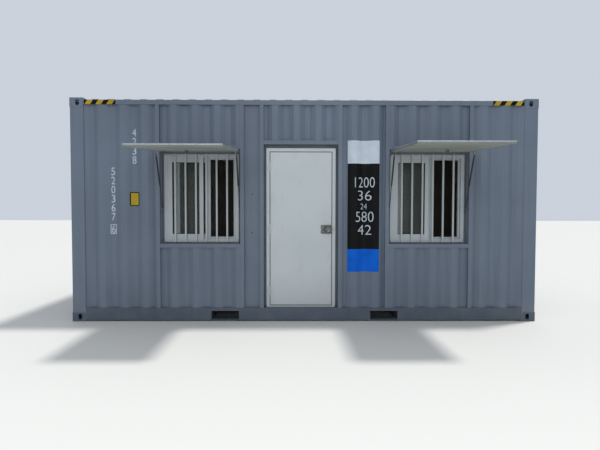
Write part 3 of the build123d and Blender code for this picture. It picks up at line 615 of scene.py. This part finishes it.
signFilm("sign_film_white", sign["blackTopMm"], sign["topMm"], filmWhite)
signFilm("sign_film_black", sign["blueTopMm"], sign["blackTopMm"], filmBlack)
signFilm("sign_film_blue", sign["bottomMm"], sign["blueTopMm"], filmBlue)
bm = bmesh.new()
for digits, *area in sign["rows"]:
    addNumber(bm, digits, *area, sign["thinning"])
bmesh.ops.remove_doubles(bm, verts=bm.verts[:], dist=0.00001)
layOnSheet(bm, "front_sheet_sign_bay", *sign["numbersMm"])
makePiece("sign_numbers", bm, filmWhite)
print("stage: sign")


# Number columns, plate and stripes at the ends

numbers = {"highMm": 99, "wideMm": 50, "pitchMm": 118, "firstX": -2495, "firstTopMm": 2004, "first": "520367",
           "secondX": -2216, "secondTopMm": 2506, "second": "4238", "boxed": "6", "boxWideMm": 78,
           "boxBottomMm": 1140, "boxTopMm": 1267, "boxLineMm": 9, "filmMm": (0.1, 0.35)}


def addColumn(bm, digits, x, topZ):
    half = numbers["wideMm"] / 2
    for k, digit in enumerate(digits):
        top = topZ - k * numbers["pitchMm"]
        addNumber(bm, digit, x - half, x + half, top - numbers["highMm"], top)


bm = bmesh.new()
addColumn(bm, numbers["first"], numbers["firstX"], numbers["firstTopMm"])
addColumn(bm, numbers["second"], numbers["secondX"], numbers["secondTopMm"])
boxMiddle = (numbers["boxBottomMm"] + numbers["boxTopMm"]) / 2
addColumn(bm, numbers["boxed"], numbers["firstX"], boxMiddle + numbers["highMm"] / 2)
boxSides = [(numbers["firstX"] + side * numbers["boxWideMm"] / 2) * mm for side in (-1, 1)]
boxFace = addPlate(bm, *boxSides, numbers["boxBottomMm"] * mm, numbers["boxTopMm"] * mm, drawnY)
keepRim(bm, boxFace, numbers["boxLineMm"] * mm)
bmesh.ops.remove_doubles(bm, verts=bm.verts[:], dist=0.00001)
layOnSheet(bm, "front_sheet_left", *numbers["filmMm"])
makePiece("number_columns", bm, filmMark)

plate = {"leftMm": -2276, "rightMm": -2153, "bottomMm": 1503, "topMm": 1687, "roundMm": 18, "borderMm": 13,
         "filmMm": 0.3}


def roundedPlate(name, shrinkMm, liftMm, material):
    bm = bmesh.new()
    addPlate(bm, (plate["leftMm"] + shrinkMm) * mm, (plate["rightMm"] - shrinkMm) * mm,
             (plate["bottomMm"] + shrinkMm) * mm, (plate["topMm"] - shrinkMm) * mm, drawnY)
    bmesh.ops.bevel(bm, geom=bm.verts[:], offset=(plate["roundMm"] - shrinkMm) * mm, offset_type="OFFSET",
                    segments=5, profile=0.5, material=-1, affect="VERTICES")
    layOnSheet(bm, "front_sheet_left", liftMm, plate["filmMm"])
    makePiece(name, bm, material)


roundedPlate("blank_plate_border", 0, 0.1, filmBlack)
roundedPlate("blank_plate_face", plate["borderMm"], 0.5, filmYellow)

stripes = {"leftMm": (-2842, -2436), "rightMm": (2434, 2840), "belowTopMm": (59, 1), "pitchMm": 139,
           "yellowMm": 72, "startMm": 8, "lean": 0.67, "liftMm": 0.1, "filmMm": 0.4}


def hazardStripes(name, x0, x1, out):
    # slanted yellow and black bars along the outer face of a top rail
    low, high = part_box("top_side_rails")
    z0, z1 = (high.z - below * mm for below in stripes["belowTopMm"])
    y = (low.y if out < 0 else high.y) + out * stripes["liftMm"] * mm
    bm = bmesh.new()
    addPlate(bm, x0 * mm, x1 * mm, z0, z1, y)
    lean = Vector((1, 0, -stripes["lean"])).normalized()
    start = x0 + stripes["startMm"]
    for k in range(-1, int((x1 - x0) / stripes["pitchMm"]) + 2):
        for edge in (0, stripes["yellowMm"]):
            cutAcross(bm, ((start + k * stripes["pitchMm"] + edge) * mm, 0, z0), lean)
    for face in bm.faces:
        middle = face.calc_center_median()
        along = middle.x / mm - start - (middle.z - z0) / mm * stripes["lean"]
        face.material_index = 0 if along % stripes["pitchMm"] < stripes["yellowMm"] else 1
    thicken(bm, bm.faces[:], (0, out * stripes["filmMm"] * mm, 0))
    makePiece(name, bm, [filmYellow, filmBlack])


for wall, out in (("front", -1), ("back", 1)):
    hazardStripes(wall + "_left_stripes", *stripes["leftMm"], out)
    hazardStripes(wall + "_right_stripes", *stripes["rightMm"], out)
print("stage: markings")


# Welds of the frame, the sheets and the roof

weld = {"sheetMm": 3.2, "frameMm": 4.0, "flushMm": 2.2, "seamMm": 2.6, "roundMm": 10, "pocketUpMm": 2,
        "seams": (-1985.5, -940.5, 104.5, 1149.5, 2194.5), "seamInMm": 3, "seamUpMm": 2}


def sheetWelds(name, nodeNames, out, along):
    bm = bmesh.new()
    for nodeName in nodeNames:
        low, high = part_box(nodeName)
        for z in (low.z, high.z):
            for run in sheetLine(nodeName, z, out, along):
                for start, end in zip(run, run[1:]):
                    addBead(bm, start, end, weld["sheetMm"])
        for run in sheetLine(nodeName, low.z, out, along):
            for foot in (run[0], run[-1]):
                addBead(bm, foot, (foot.x, foot.y, high.z), weld["sheetMm"])
    makePiece(name, bm, containerCoat, smoothDegrees=60)


sheetWelds("front_sheet_welds", frontSheets, -1, 0)
sheetWelds("back_sheet_welds", ("back_sheet",), 1, 0)
sheetWelds("left_end_welds", ("left_end_sheet",), -1, 1)
sheetWelds("right_end_welds", ("right_end_sheet",), 1, 1)


def frameWelds():
    bm = bmesh.new()
    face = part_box("bay_uprights")[0].y
    for low, high in solidBoxes("bay_uprights"):
        for z in (low.z, high.z):
            addBead(bm, (low.x, face, z), (high.x, face, z), weld["flushMm"])
    for low, high in solidBoxes("sill_and_head_tubes"):
        for x in (low.x, high.x):
            addBead(bm, (x, face, low.z), (x, face, high.z), weld["flushMm"])
    edge = weld["roundMm"] * mm
    for low, high in solidBoxes("corner_posts"):
        outX, outY = (1 if value > 0 else -1 for value in low.xy)
        outerX, innerX = (high.x, low.x) if outX > 0 else (low.x, high.x)
        outerY, innerY = (high.y, low.y) if outY > 0 else (low.y, high.y)
        for z in (low.z, high.z):
            addBead(bm, (innerX, outerY, z), (outerX - outX * edge, outerY, z), weld["frameMm"])
            addBead(bm, (outerX, outerY - outY * edge, z), (outerX, innerY, z), weld["frameMm"])
    for nodeName in ("bottom_side_rails", "top_side_rails", "bottom_end_rails", "top_end_rails"):
        low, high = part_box(nodeName)
        for x in (low.x, high.x):
            for y in (low.y, high.y):
                addBead(bm, (x, y, low.z), (x, y, high.z), weld["frameMm"])
    for low, high in solidBoxes("fork_pockets"):
        for y in (low.y, high.y):
            for x in (low.x, high.x):
                addBead(bm, (x, y, low.z + weld["pocketUpMm"] * mm), (x, y, high.z), weld["flushMm"])
            addBead(bm, (low.x, y, high.z), (high.x, y, high.z), weld["flushMm"])
    makePiece("frame_welds", bm, containerCoat, smoothDegrees=60)


frameWelds()

cornerPlate = {"acrossMm": (62, 8), "deepMm": (190, 6), "upMm": (1.8, 6), "bevelMm": 1.5}


def roofTrim():
    low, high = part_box("roof_sheet")
    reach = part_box("top_side_rails")[1].x
    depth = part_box("top_end_rails")[1].y
    bm = bmesh.new()
    for y in (low.y, high.y):
        addBead(bm, (-reach, y, low.z + mm), (reach, y, low.z + mm), weld["sheetMm"])
    for x in (low.x, high.x):
        addBead(bm, (x, -depth, low.z + mm), (x, depth, low.z + mm), weld["sheetMm"])
    z = low.z + weld["seamUpMm"] * mm
    for x in weld["seams"]:
        addBead(bm, (x * mm, low.y + weld["seamInMm"] * mm, z), (x * mm, high.y - weld["seamInMm"] * mm, z),
                weld["seamMm"])
    makePiece("roof_welds", bm, roofCoat, smoothDegrees=60)

    # a plate on the roof beside each corner casting
    bm = bmesh.new()
    (inX, outX), (inY, outY), (under, over) = (
        [size * mm for size in cornerPlate[key]] for key in ("acrossMm", "deepMm", "upMm"))
    for sx in (-1, 1):
        for sy in (-1, 1):
            addBox(bm, (sx * (reach - inX), sy * (depth - inY), low.z + under),
                   (sx * (high.x - outX), sy * (depth - outY), low.z + over), cornerPlate["bevelMm"])
    makePiece("roof_corner_plates", bm, roofCoat)


roofTrim()
print("stage: welds and roof plates")


# Windows: gaskets, pulls and sealant

windowFit = {"gasketMm": 6, "gasketProudMm": 2.5, "stilesMm": (66, 52), "railMm": 71, "pullMm": (13, 96, 4),
             "pullInMm": (30, -26), "lapMm": 0.5, "gripMm": (14, 2), "sealantMm": 4}


def sealRound(bm, low, high, y, radiusMm):
    # a smooth gunned bead round a rectangle of the front plane
    corners = [(low.x, low.z), (high.x, low.z), (high.x, high.z), (low.x, high.z)]
    for (x0, z0), (x1, z1) in zip(corners, corners[1:] + corners[:1]):
        addRod(bm, (x0, y, z0), (x1, y, z1), radiusMm * mm, 10)


def windowFittings(side):
    rubber, vinyl = bmesh.new(), bmesh.new()
    panes = solidBoxes(side + "_window_panes")
    sashes = solidBoxes(side + "_window_sashes")
    gasket, proud, rail = (windowFit[key] * mm for key in ("gasketMm", "gasketProudMm", "railMm"))
    stiles = [stile * mm for stile in windowFit["stilesMm"]]  # outer, meeting
    for k, (pane, (low, high)) in enumerate(zip(panes, sashes)):
        for y in (pane[0].y - proud, pane[1].y):
            addRing(rubber, low.x + stiles[k], high.x - stiles[1 - k], low.z + rail, high.z - rail, gasket, y,
                    proud)
    wide, tall, proud = (size * mm for size in windowFit["pullMm"])
    shorter, further = (size * mm for size in windowFit["gripMm"])
    for k, (low, high) in enumerate(sashes):
        middle = (low.z + high.z) / 2
        x = (low.x, high.x)[k] + windowFit["pullInMm"][k] * mm
        addBox(vinyl, (x - wide / 2, high.y - windowFit["lapMm"] * mm, middle - tall / 2),
               (x + wide / 2, high.y + proud, middle + tall / 2), 1.5)
        addBox(vinyl, (x - wide / 4, high.y + mm, middle - tall / 2 + shorter),
               (x + wide / 4, high.y + proud + further, middle + tall / 2 - shorter), 0.8)
    makePiece(side + "_glazing_gaskets", rubber, sealRubber)
    makePiece(side + "_sash_pulls", vinyl, shadedWindowVinyl)
    bm = bmesh.new()
    low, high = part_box(side + "_window_frame")
    sealRound(bm, low, high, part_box("window_packers")[0].y, windowFit["sealantMm"])
    makePiece(side + "_window_sealant", bm, sealant, smoothDegrees=50)


for side in ("left", "right"):
    windowFittings(side)
print("stage: window fittings")


# Door: edge seal, screws, sealant, hasp bolts and lock face

doorFit = {
    "gapMm": 4, "sealMm": 7, "sealProudMm": 2.5, "sealLapMm": 0.5, "sealBevelMm": 0.7, "sealantMm": 4,
    "thresholdMm": 5, "frameScrewZ": (300, 680, 1000, 1420, 1820, 2120), "frameScrewInMm": (24, 20),
    "headScrewMm": (100, 300, 500, 700), "headScrewDownMm": 22, "frameDomeMm": (5, 2.2), "hingePlateMm": 3,
    "hingeStepsMm": (-20, 0, 20), "hingeDomeMm": (4.5, 2), "frameLeafMm": (11, 30), "doorLeafMm": 9,
    "haspBolts": ((245, 1178), (245, 1230)), "haspInMm": 4, "boltDomeMm": (9, 4), "puckRingMm": (43, 38, 0.5),
    "plugMm": 9, "plugDropMm": 20, "plugDeepMm": (1, 1.2), "keywayMm": ((-1, -1.5, -5), (1, -1.1, 5)),
}


def doorFittings():
    leafLow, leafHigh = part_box("door_leaf")
    frameLow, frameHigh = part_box("door_frame")
    front = frameLow.y
    rim = doorFit["sealMm"] * mm
    reach = doorFit["gapMm"] * mm + rim
    bm = bmesh.new()
    addRing(bm, leafLow.x - reach, leafHigh.x + reach, leafLow.z - reach, leafHigh.z + reach, rim,
            front - doorFit["sealProudMm"] * mm, (doorFit["sealProudMm"] + doorFit["sealLapMm"]) * mm)
    roundEdges(bm, bm.edges[:], doorFit["sealBevelMm"])
    makePiece("door_edge_seal", bm, doorRubber)
    bm = bmesh.new()
    inLeft, inRight = (size * mm for size in doorFit["frameScrewInMm"])
    for z in doorFit["frameScrewZ"]:
        for x in (frameLow.x + inLeft, frameHigh.x - inRight):
            addDome(bm, (x, front, z * mm), forward, *doorFit["frameDomeMm"])
    for along in doorFit["headScrewMm"]:
        addDome(bm, (leafLow.x + along * mm, front, frameHigh.z - doorFit["headScrewDownMm"] * mm), forward,
                *doorFit["frameDomeMm"])
    makePiece("door_frame_screws", bm, zincSteel, smoothDegrees=40)
    bm = bmesh.new()
    sealLow = frameLow + Vector((0, 0, doorFit["thresholdMm"] * mm))
    sealRound(bm, sealLow, frameHigh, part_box("door_packer")[0].y, doorFit["sealantMm"])
    makePiece("door_frame_sealant", bm, sealant, smoothDegrees=50)

    for part, body in (("frame", "cabin"), ("leaf", "door")):
        bm = bmesh.new()
        for low, high in solidBoxes("door_hinges_" + part):
            inX, up = (size * mm for size in doorFit["frameLeafMm"])
            x, middle = low.x + inX, low.z + up
            if part == "leaf":
                x, middle = high.x - doorFit["doorLeafMm"] * mm, (low.z + high.z) / 2
            for step in doorFit["hingeStepsMm"]:
                addDome(bm, (x, front - doorFit["hingePlateMm"] * mm, middle + step * mm), forward,
                        *doorFit["hingeDomeMm"])
        makePiece("door_hinge_screws_" + part, bm, doorCoat, body, smoothDegrees=40)

    bm = bmesh.new()
    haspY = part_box("hasp_plate")[0].y + doorFit["haspInMm"] * mm
    for x, z in doorFit["haspBolts"]:
        addDome(bm, (x * mm, haspY, z * mm), forward, *doorFit["boltDomeMm"])
    puckLow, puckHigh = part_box("puck_lock")
    centre = Vector(((puckLow.x + puckHigh.x) / 2, puckLow.y, (puckLow.z + puckHigh.z) / 2))
    plug = centre - Vector((0, 0, doorFit["plugDropMm"] * mm))
    behind, proud = (size * mm for size in doorFit["plugDeepMm"])
    addRod(bm, plug - forward * behind, plug + forward * proud, doorFit["plugMm"] * mm, 24)
    makePiece("hasp_bolts_and_plug", bm, zincSteel, "door", smoothDegrees=40)
    bm = bmesh.new()
    outer, inner, proud = (size * mm for size in doorFit["puckRingMm"])
    facing = Matrix.Translation(centre) @ Matrix.Rotation(pi / 2, 4, "X")
    circle = bmesh.ops.create_circle(bm, segments=48, radius=outer, cap_ends=True, matrix=facing)["verts"]
    disc = circle[0].link_faces[0]
    disc.normal_update()
    thicken(bm, keepRim(bm, disc, outer - inner), forward * proud)
    addBox(bm, *(plug + Vector(corner) * mm for corner in doorFit["keywayMm"]))
    makePiece("lock_ring_and_keyway", bm, sealRubber, "door", smoothDegrees=40)


doorFittings()
print("stage: door fittings")


# Flaps: edge angle, rim band, screws and staple; struts: sleeves, clips and rod ends

flapFit = {
    "angleMm": (14, 16, 1.2), "bandMm": 0.8, "lapMm": 0.1, "screwInsetMm": 26, "screwStepMm": 190,
    "lidDomeMm": (5, 2), "hingeStepsMm": (-32, 0, 32), "hingeDomeMm": (4.5, 2), "hingePlateMm": 3,
    "hingeInMm": 28, "hingeDownMm": 16, "halfWideMm": 600, "stapleOutMm": 414,
    "stapleX": {"left": -63, "right": 82}, "stapleMm": (26, 26, 4), "stapleFootMm": (11, 9, 2),
    "runMm": {"left": 749.2, "right": 755.6}, "sleeveMm": (12, 39.5, 6.5), "clipMm": (5.2, 7, 7),
    "rodEndMm": (26, 8, 6.5), "nutMm": (5, 9, 7),
}


def flapPiece(side, name, bm, place, material, smoothDegrees=None):
    # built in the frame of flapPlace, then set on the raised flap
    bmesh.ops.transform(bm, matrix=place, verts=bm.verts[:])
    makePiece(side + "_flap_" + name, bm, material, side + "_flap", smoothDegrees)


def flapFittings(side):
    place = flapPlace(side)
    low, high = localBox(side + "_flap", place)
    face, top, thick = (size * mm for size in flapFit["angleMm"])

    # edge angle round the free edges: aluminium trim, pale partly as painted highlight along the flap's top
    # edge
    bm = bmesh.new()
    addBox(bm, (low.x - thick, low.y - thick, high.z - face), (high.x + thick, low.y, high.z + thick), 0.5)
    addBox(bm, (low.x, low.y - thick / 2, high.z), (high.x, low.y + top, high.z + thick), 0.4)
    for out, x in ((-1, low.x), (1, high.x)):
        addBox(bm, (x, low.y, high.z - face), (x + out * thick, high.y, high.z + thick), 0.4)
        addBox(bm, (x + out * thick / 2, low.y + top, high.z), (x - out * top, high.y, high.z + thick), 0.4)
    flapPiece(side, "edge_angle", bm, place, edgeAlloyAndHighlight)

    # pale band that closes the rim below the angle, in the lining's board colour darkened: painted shade on
    # the front rim
    band, lap = flapFit["bandMm"] * mm, flapFit["lapMm"] * mm
    bm = bmesh.new()
    addBox(bm, (low.x - band, low.y - band, low.z), (high.x + band, low.y + lap, high.z - face), 0.3)
    for out, x in ((-1, low.x), (1, high.x)):
        addBox(bm, (x - out * lap, low.y, low.z), (x + out * band, high.y, high.z - face), 0.3)
    flapPiece(side, "rim_band", bm, place, shadedRimBoard)

    boardLow, boardHigh = localBox(side + "_flap_lining", place)
    inset, step = flapFit["screwInsetMm"] * mm, flapFit["screwStepMm"] * mm
    spanX, spanY = (boardHigh[i] - boardLow[i] - 2 * inset for i in (0, 1))
    across, deep = int(spanX / step), int(spanY / step)
    up = Vector((0, 0, 1))
    bm = bmesh.new()
    for i in range(across + 1):
        x = boardLow.x + inset + spanX * i / across
        for j in range(deep + 1):
            y = boardLow.y + inset + spanY * j / deep
            if i in (0, across) or j in (0, deep) or i == across // 2:
                addDome(bm, (x, y, boardLow.z), -up, *flapFit["lidDomeMm"])
    plateTop = high.z + flapFit["hingePlateMm"] * mm
    for hingeLow, hingeHigh in solidBoxes("flap_hinges_fixed"):
        middle = (hingeLow.x + hingeHigh.x) / 2 - place.translation.x
        if abs(middle) < flapFit["halfWideMm"] * mm:
            for step in flapFit["hingeStepsMm"]:
                addDome(bm, (middle + step * mm, -flapFit["hingeInMm"] * mm, plateTop), up,
                        *flapFit["hingeDomeMm"])
    flapPiece(side, "screws", bm, place, zincSteel, 40)

    wide, drop, radius = (size * mm for size in flapFit["stapleMm"])
    footX, footY, footZ = (size * mm for size in flapFit["stapleFootMm"])
    x, y, z = flapFit["stapleX"][side] * mm, -flapFit["stapleOutMm"] * mm, boardLow.z
    bow = z - drop + radius
    bm = bmesh.new()
    for legX in (x - wide / 2, x + wide / 2):
        addRod(bm, (legX, y, z + mm), (legX, y, bow), radius, 12)
    addBox(bm, (x - wide / 2 - footX, y - footY, z - footZ), (x + wide / 2 + footX, y + footY, z + mm), 0.6)
    addRod(bm, (x - wide / 2 - radius, y, bow), (x + wide / 2 + radius, y, bow), radius, 12)
    flapPiece(side, "staple", bm, place, strutCoat, 40)

    upper = Vector(joints[side + "_strut_pivot"]["pos_m"])
    axis = Vector(joints[side + "_strut_slide"]["axis"]).normalized()
    run = flapFit["runMm"][side] * mm
    sleeves, clips, rodEnds = bmesh.new(), bmesh.new(), bmesh.new()
    for strutLow, strutHigh in solidBoxes(side + "_strut_cylinders"):
        at = (strutLow.x + strutHigh.x) / 2
        pivot = Vector((at, upper.y, upper.z))
        outward = Vector((1 if at > upper.x else -1, 0, 0))
        for bm, eye, along, key, sides in (
                (sleeves, pivot, axis, "sleeveMm", 20), (clips, pivot, outward, "clipMm", 16),
                (rodEnds, pivot + axis * run, -axis, "rodEndMm", 20),
                (rodEnds, pivot + axis * run, -outward, "nutMm", 6)):
            start, end, radius = (size * mm for size in flapFit[key])
            addRod(bm, eye + along * start, eye + along * end, radius, sides)
    makePiece(side + "_strut_sleeves", sleeves, strutCoat, side + "_strut_cylinders",
              smoothDegrees=40)
    makePiece(side + "_strut_clips", clips, zincSteel, side + "_flap", smoothDegrees=40)
    makePiece(side + "_rod_ends", rodEnds, zincSteel, side + "_strut_rods", smoothDegrees=40)


for side in ("left", "right"):
    flapFittings(side)

bm = bmesh.new()
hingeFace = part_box("bay_uprights")[0].y - flapFit["hingePlateMm"] * mm
for low, high in solidBoxes("flap_hinges_fixed"):
    for step in flapFit["hingeStepsMm"]:
        addDome(bm, ((low.x + high.x) / 2 + step * mm, hingeFace, high.z - flapFit["hingeDownMm"] * mm),
                forward, *flapFit["hingeDomeMm"])
makePiece("flap_hinge_screws", bm, zincSteel, smoothDegrees=40)

wallBolts = {"at": ((-686, 1666), (-687, 1162)), "domeMm": (8, 4)}
bm = bmesh.new()
for x, z in wallBolts["at"]:
    addDome(bm, (x * mm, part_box("front_sheet_by_door")[0].y, z * mm), forward, *wallBolts["domeMm"])
makePiece("wall_bolts", bm, rodNitride, smoothDegrees=40)
print("stage: flap fittings")


# Room: floor screws, joint strips, skirting and coping

room = {"floorStepMm": 290, "floorInMm": 200, "screwMm": (5, 0.6), "stripWideMm": 38, "stripProudMm": 3,
        "stripInMm": 4, "lapMm": 0.2, "skirtingHighMm": 60, "copingHighMm": 30}


def roomTrim():
    floorLow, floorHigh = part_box("floor_boards")
    inset = room["floorInMm"] * mm
    span = floorHigh.y - floorLow.y - 2 * inset
    rows = int(span / (room["floorStepMm"] * mm))
    radius, lift = (size * mm for size in room["screwMm"])
    bm = bmesh.new()
    for low, high in solidBoxes("cross_members"):
        x = (low.x + high.x) / 2
        for k in range(rows + 1):
            y = floorLow.y + inset + span * k / rows
            addRod(bm, (x, y, floorHigh.z - mm), (x, y, floorHigh.z + lift), radius, 8)
    makePiece("floor_screws", bm, zincSteel)

    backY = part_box("back_lining")[0].y
    endX = solidBoxes("end_linings")[0][1].x
    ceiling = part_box("ceiling_boards")[0].z
    half, proud, lap, inset = (size * mm for size in (room["stripWideMm"] / 2, room["stripProudMm"],
                                                      room["lapMm"], room["stripInMm"]))
    skirting = (floorHigh.z + lap, floorHigh.z + room["skirtingHighMm"] * mm)
    coping = (ceiling - room["copingHighMm"] * mm, ceiling)
    bm = bmesh.new()
    for x in [low.x for low, high in solidBoxes("back_lining")][1:]:
        addBox(bm, (x - half, backY - proud, skirting[1]), (x + half, backY + lap, coping[0]), 1)
        addBox(bm, (x - half, -backY + inset, ceiling - proud), (x + half, backY - inset, ceiling + lap), 1)
    doorLow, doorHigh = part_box("door_packer")
    for out in (-1, 1):
        y0, y1 = out * (backY + lap), out * (backY - proud)
        for x0, x1 in [(endX, -endX)] if out > 0 else [(endX, doorLow.x), (doorHigh.x, -endX)]:
            addBox(bm, (x0, y0, skirting[0]), (x1, y1, skirting[1]), 1)
        addBox(bm, (endX, y0, coping[0]), (-endX, y1, coping[1]), 1)
        x0, x1 = out * (lap - endX), out * (-endX - proud)
        for z0, z1 in (skirting, coping):
            addBox(bm, (x0, proud - backY, z0), (x1, backY - proud, z1), 1)
    makePiece("room_strips", bm, trimVinyl)


roomTrim()
print("stage: room trim")


# Stage, camera and light

view = {"place": (-0.1038, -6.7285, 1.4385), "pan": 0.428, "tilt": -1.84, "roll": 0.089, "focalPx": 424,
        "widePx": 600}
cameraData = bpy.data.cameras.new("photoCamera")
cameraData.sensor_width = 36
cameraData.lens = view["focalPx"] * cameraData.sensor_width / view["widePx"]
camera = newObject("photoCamera", cameraData)
look = Matrix.Rotation(radians(-view["pan"]), 4, "Z") @ Matrix.Rotation(radians(90 + view["tilt"]), 4, "X")
roll = Matrix.Rotation(radians(view["roll"]), 4, "Z")
camera.matrix_world = Matrix.Translation(view["place"]) @ look @ roll
bpy.context.scene.camera = camera

bm = bmesh.new()
bmesh.ops.create_grid(bm, x_segments=1, y_segments=1, size=60)
floorMesh = bpy.data.meshes.new("studioFloor")
bm.to_mesh(floorMesh)
bm.free()
floor = newObject("studioFloor", floorMesh)
floor.location.z = -0.5 * mm
floorPaint, _, floorShader, _ = startMaterial("studioFloorPaint")
floorShader.inputs["Base Color"].default_value = toLinear("#d8d6d0")
floorShader.inputs["Roughness"].default_value = 0.9
floorMesh.materials.append(floorPaint)

world = bpy.data.worlds.new("studioWorld")
bpy.context.scene.world = world
world.use_nodes = True
background = world.node_tree.nodes["Background"]
background.inputs["Color"].default_value = toLinear("#e6eefa")
background.inputs["Strength"].default_value = 0.75

sunLook = {"from": (0.30, 0.13, 0.945), "strength": 2.2, "spread": 6}
sunData = bpy.data.lights.new("sun", "SUN")
sunData.energy = sunLook["strength"]
sunData.angle = radians(sunLook["spread"])
sun = newObject("sun", sunData)
sun.matrix_world = turnTo(-Vector(sunLook["from"]), "-Z")
frontLook = {"place": (0, -9.5, 4.5), "aim": (0, -1.2, 1.3), "size": 8, "watts": 160}
frontData = bpy.data.lights.new("front", "AREA")
frontData.size = frontLook["size"]
frontData.energy = frontLook["watts"]
front = newObject("front", frontData)
aim = Vector(frontLook["aim"]) - Vector(frontLook["place"])
front.matrix_world = Matrix.Translation(frontLook["place"]) @ turnTo(aim, "-Z")

bpy.context.scene.view_settings.view_transform = "Standard"
print("stage: camera and light")
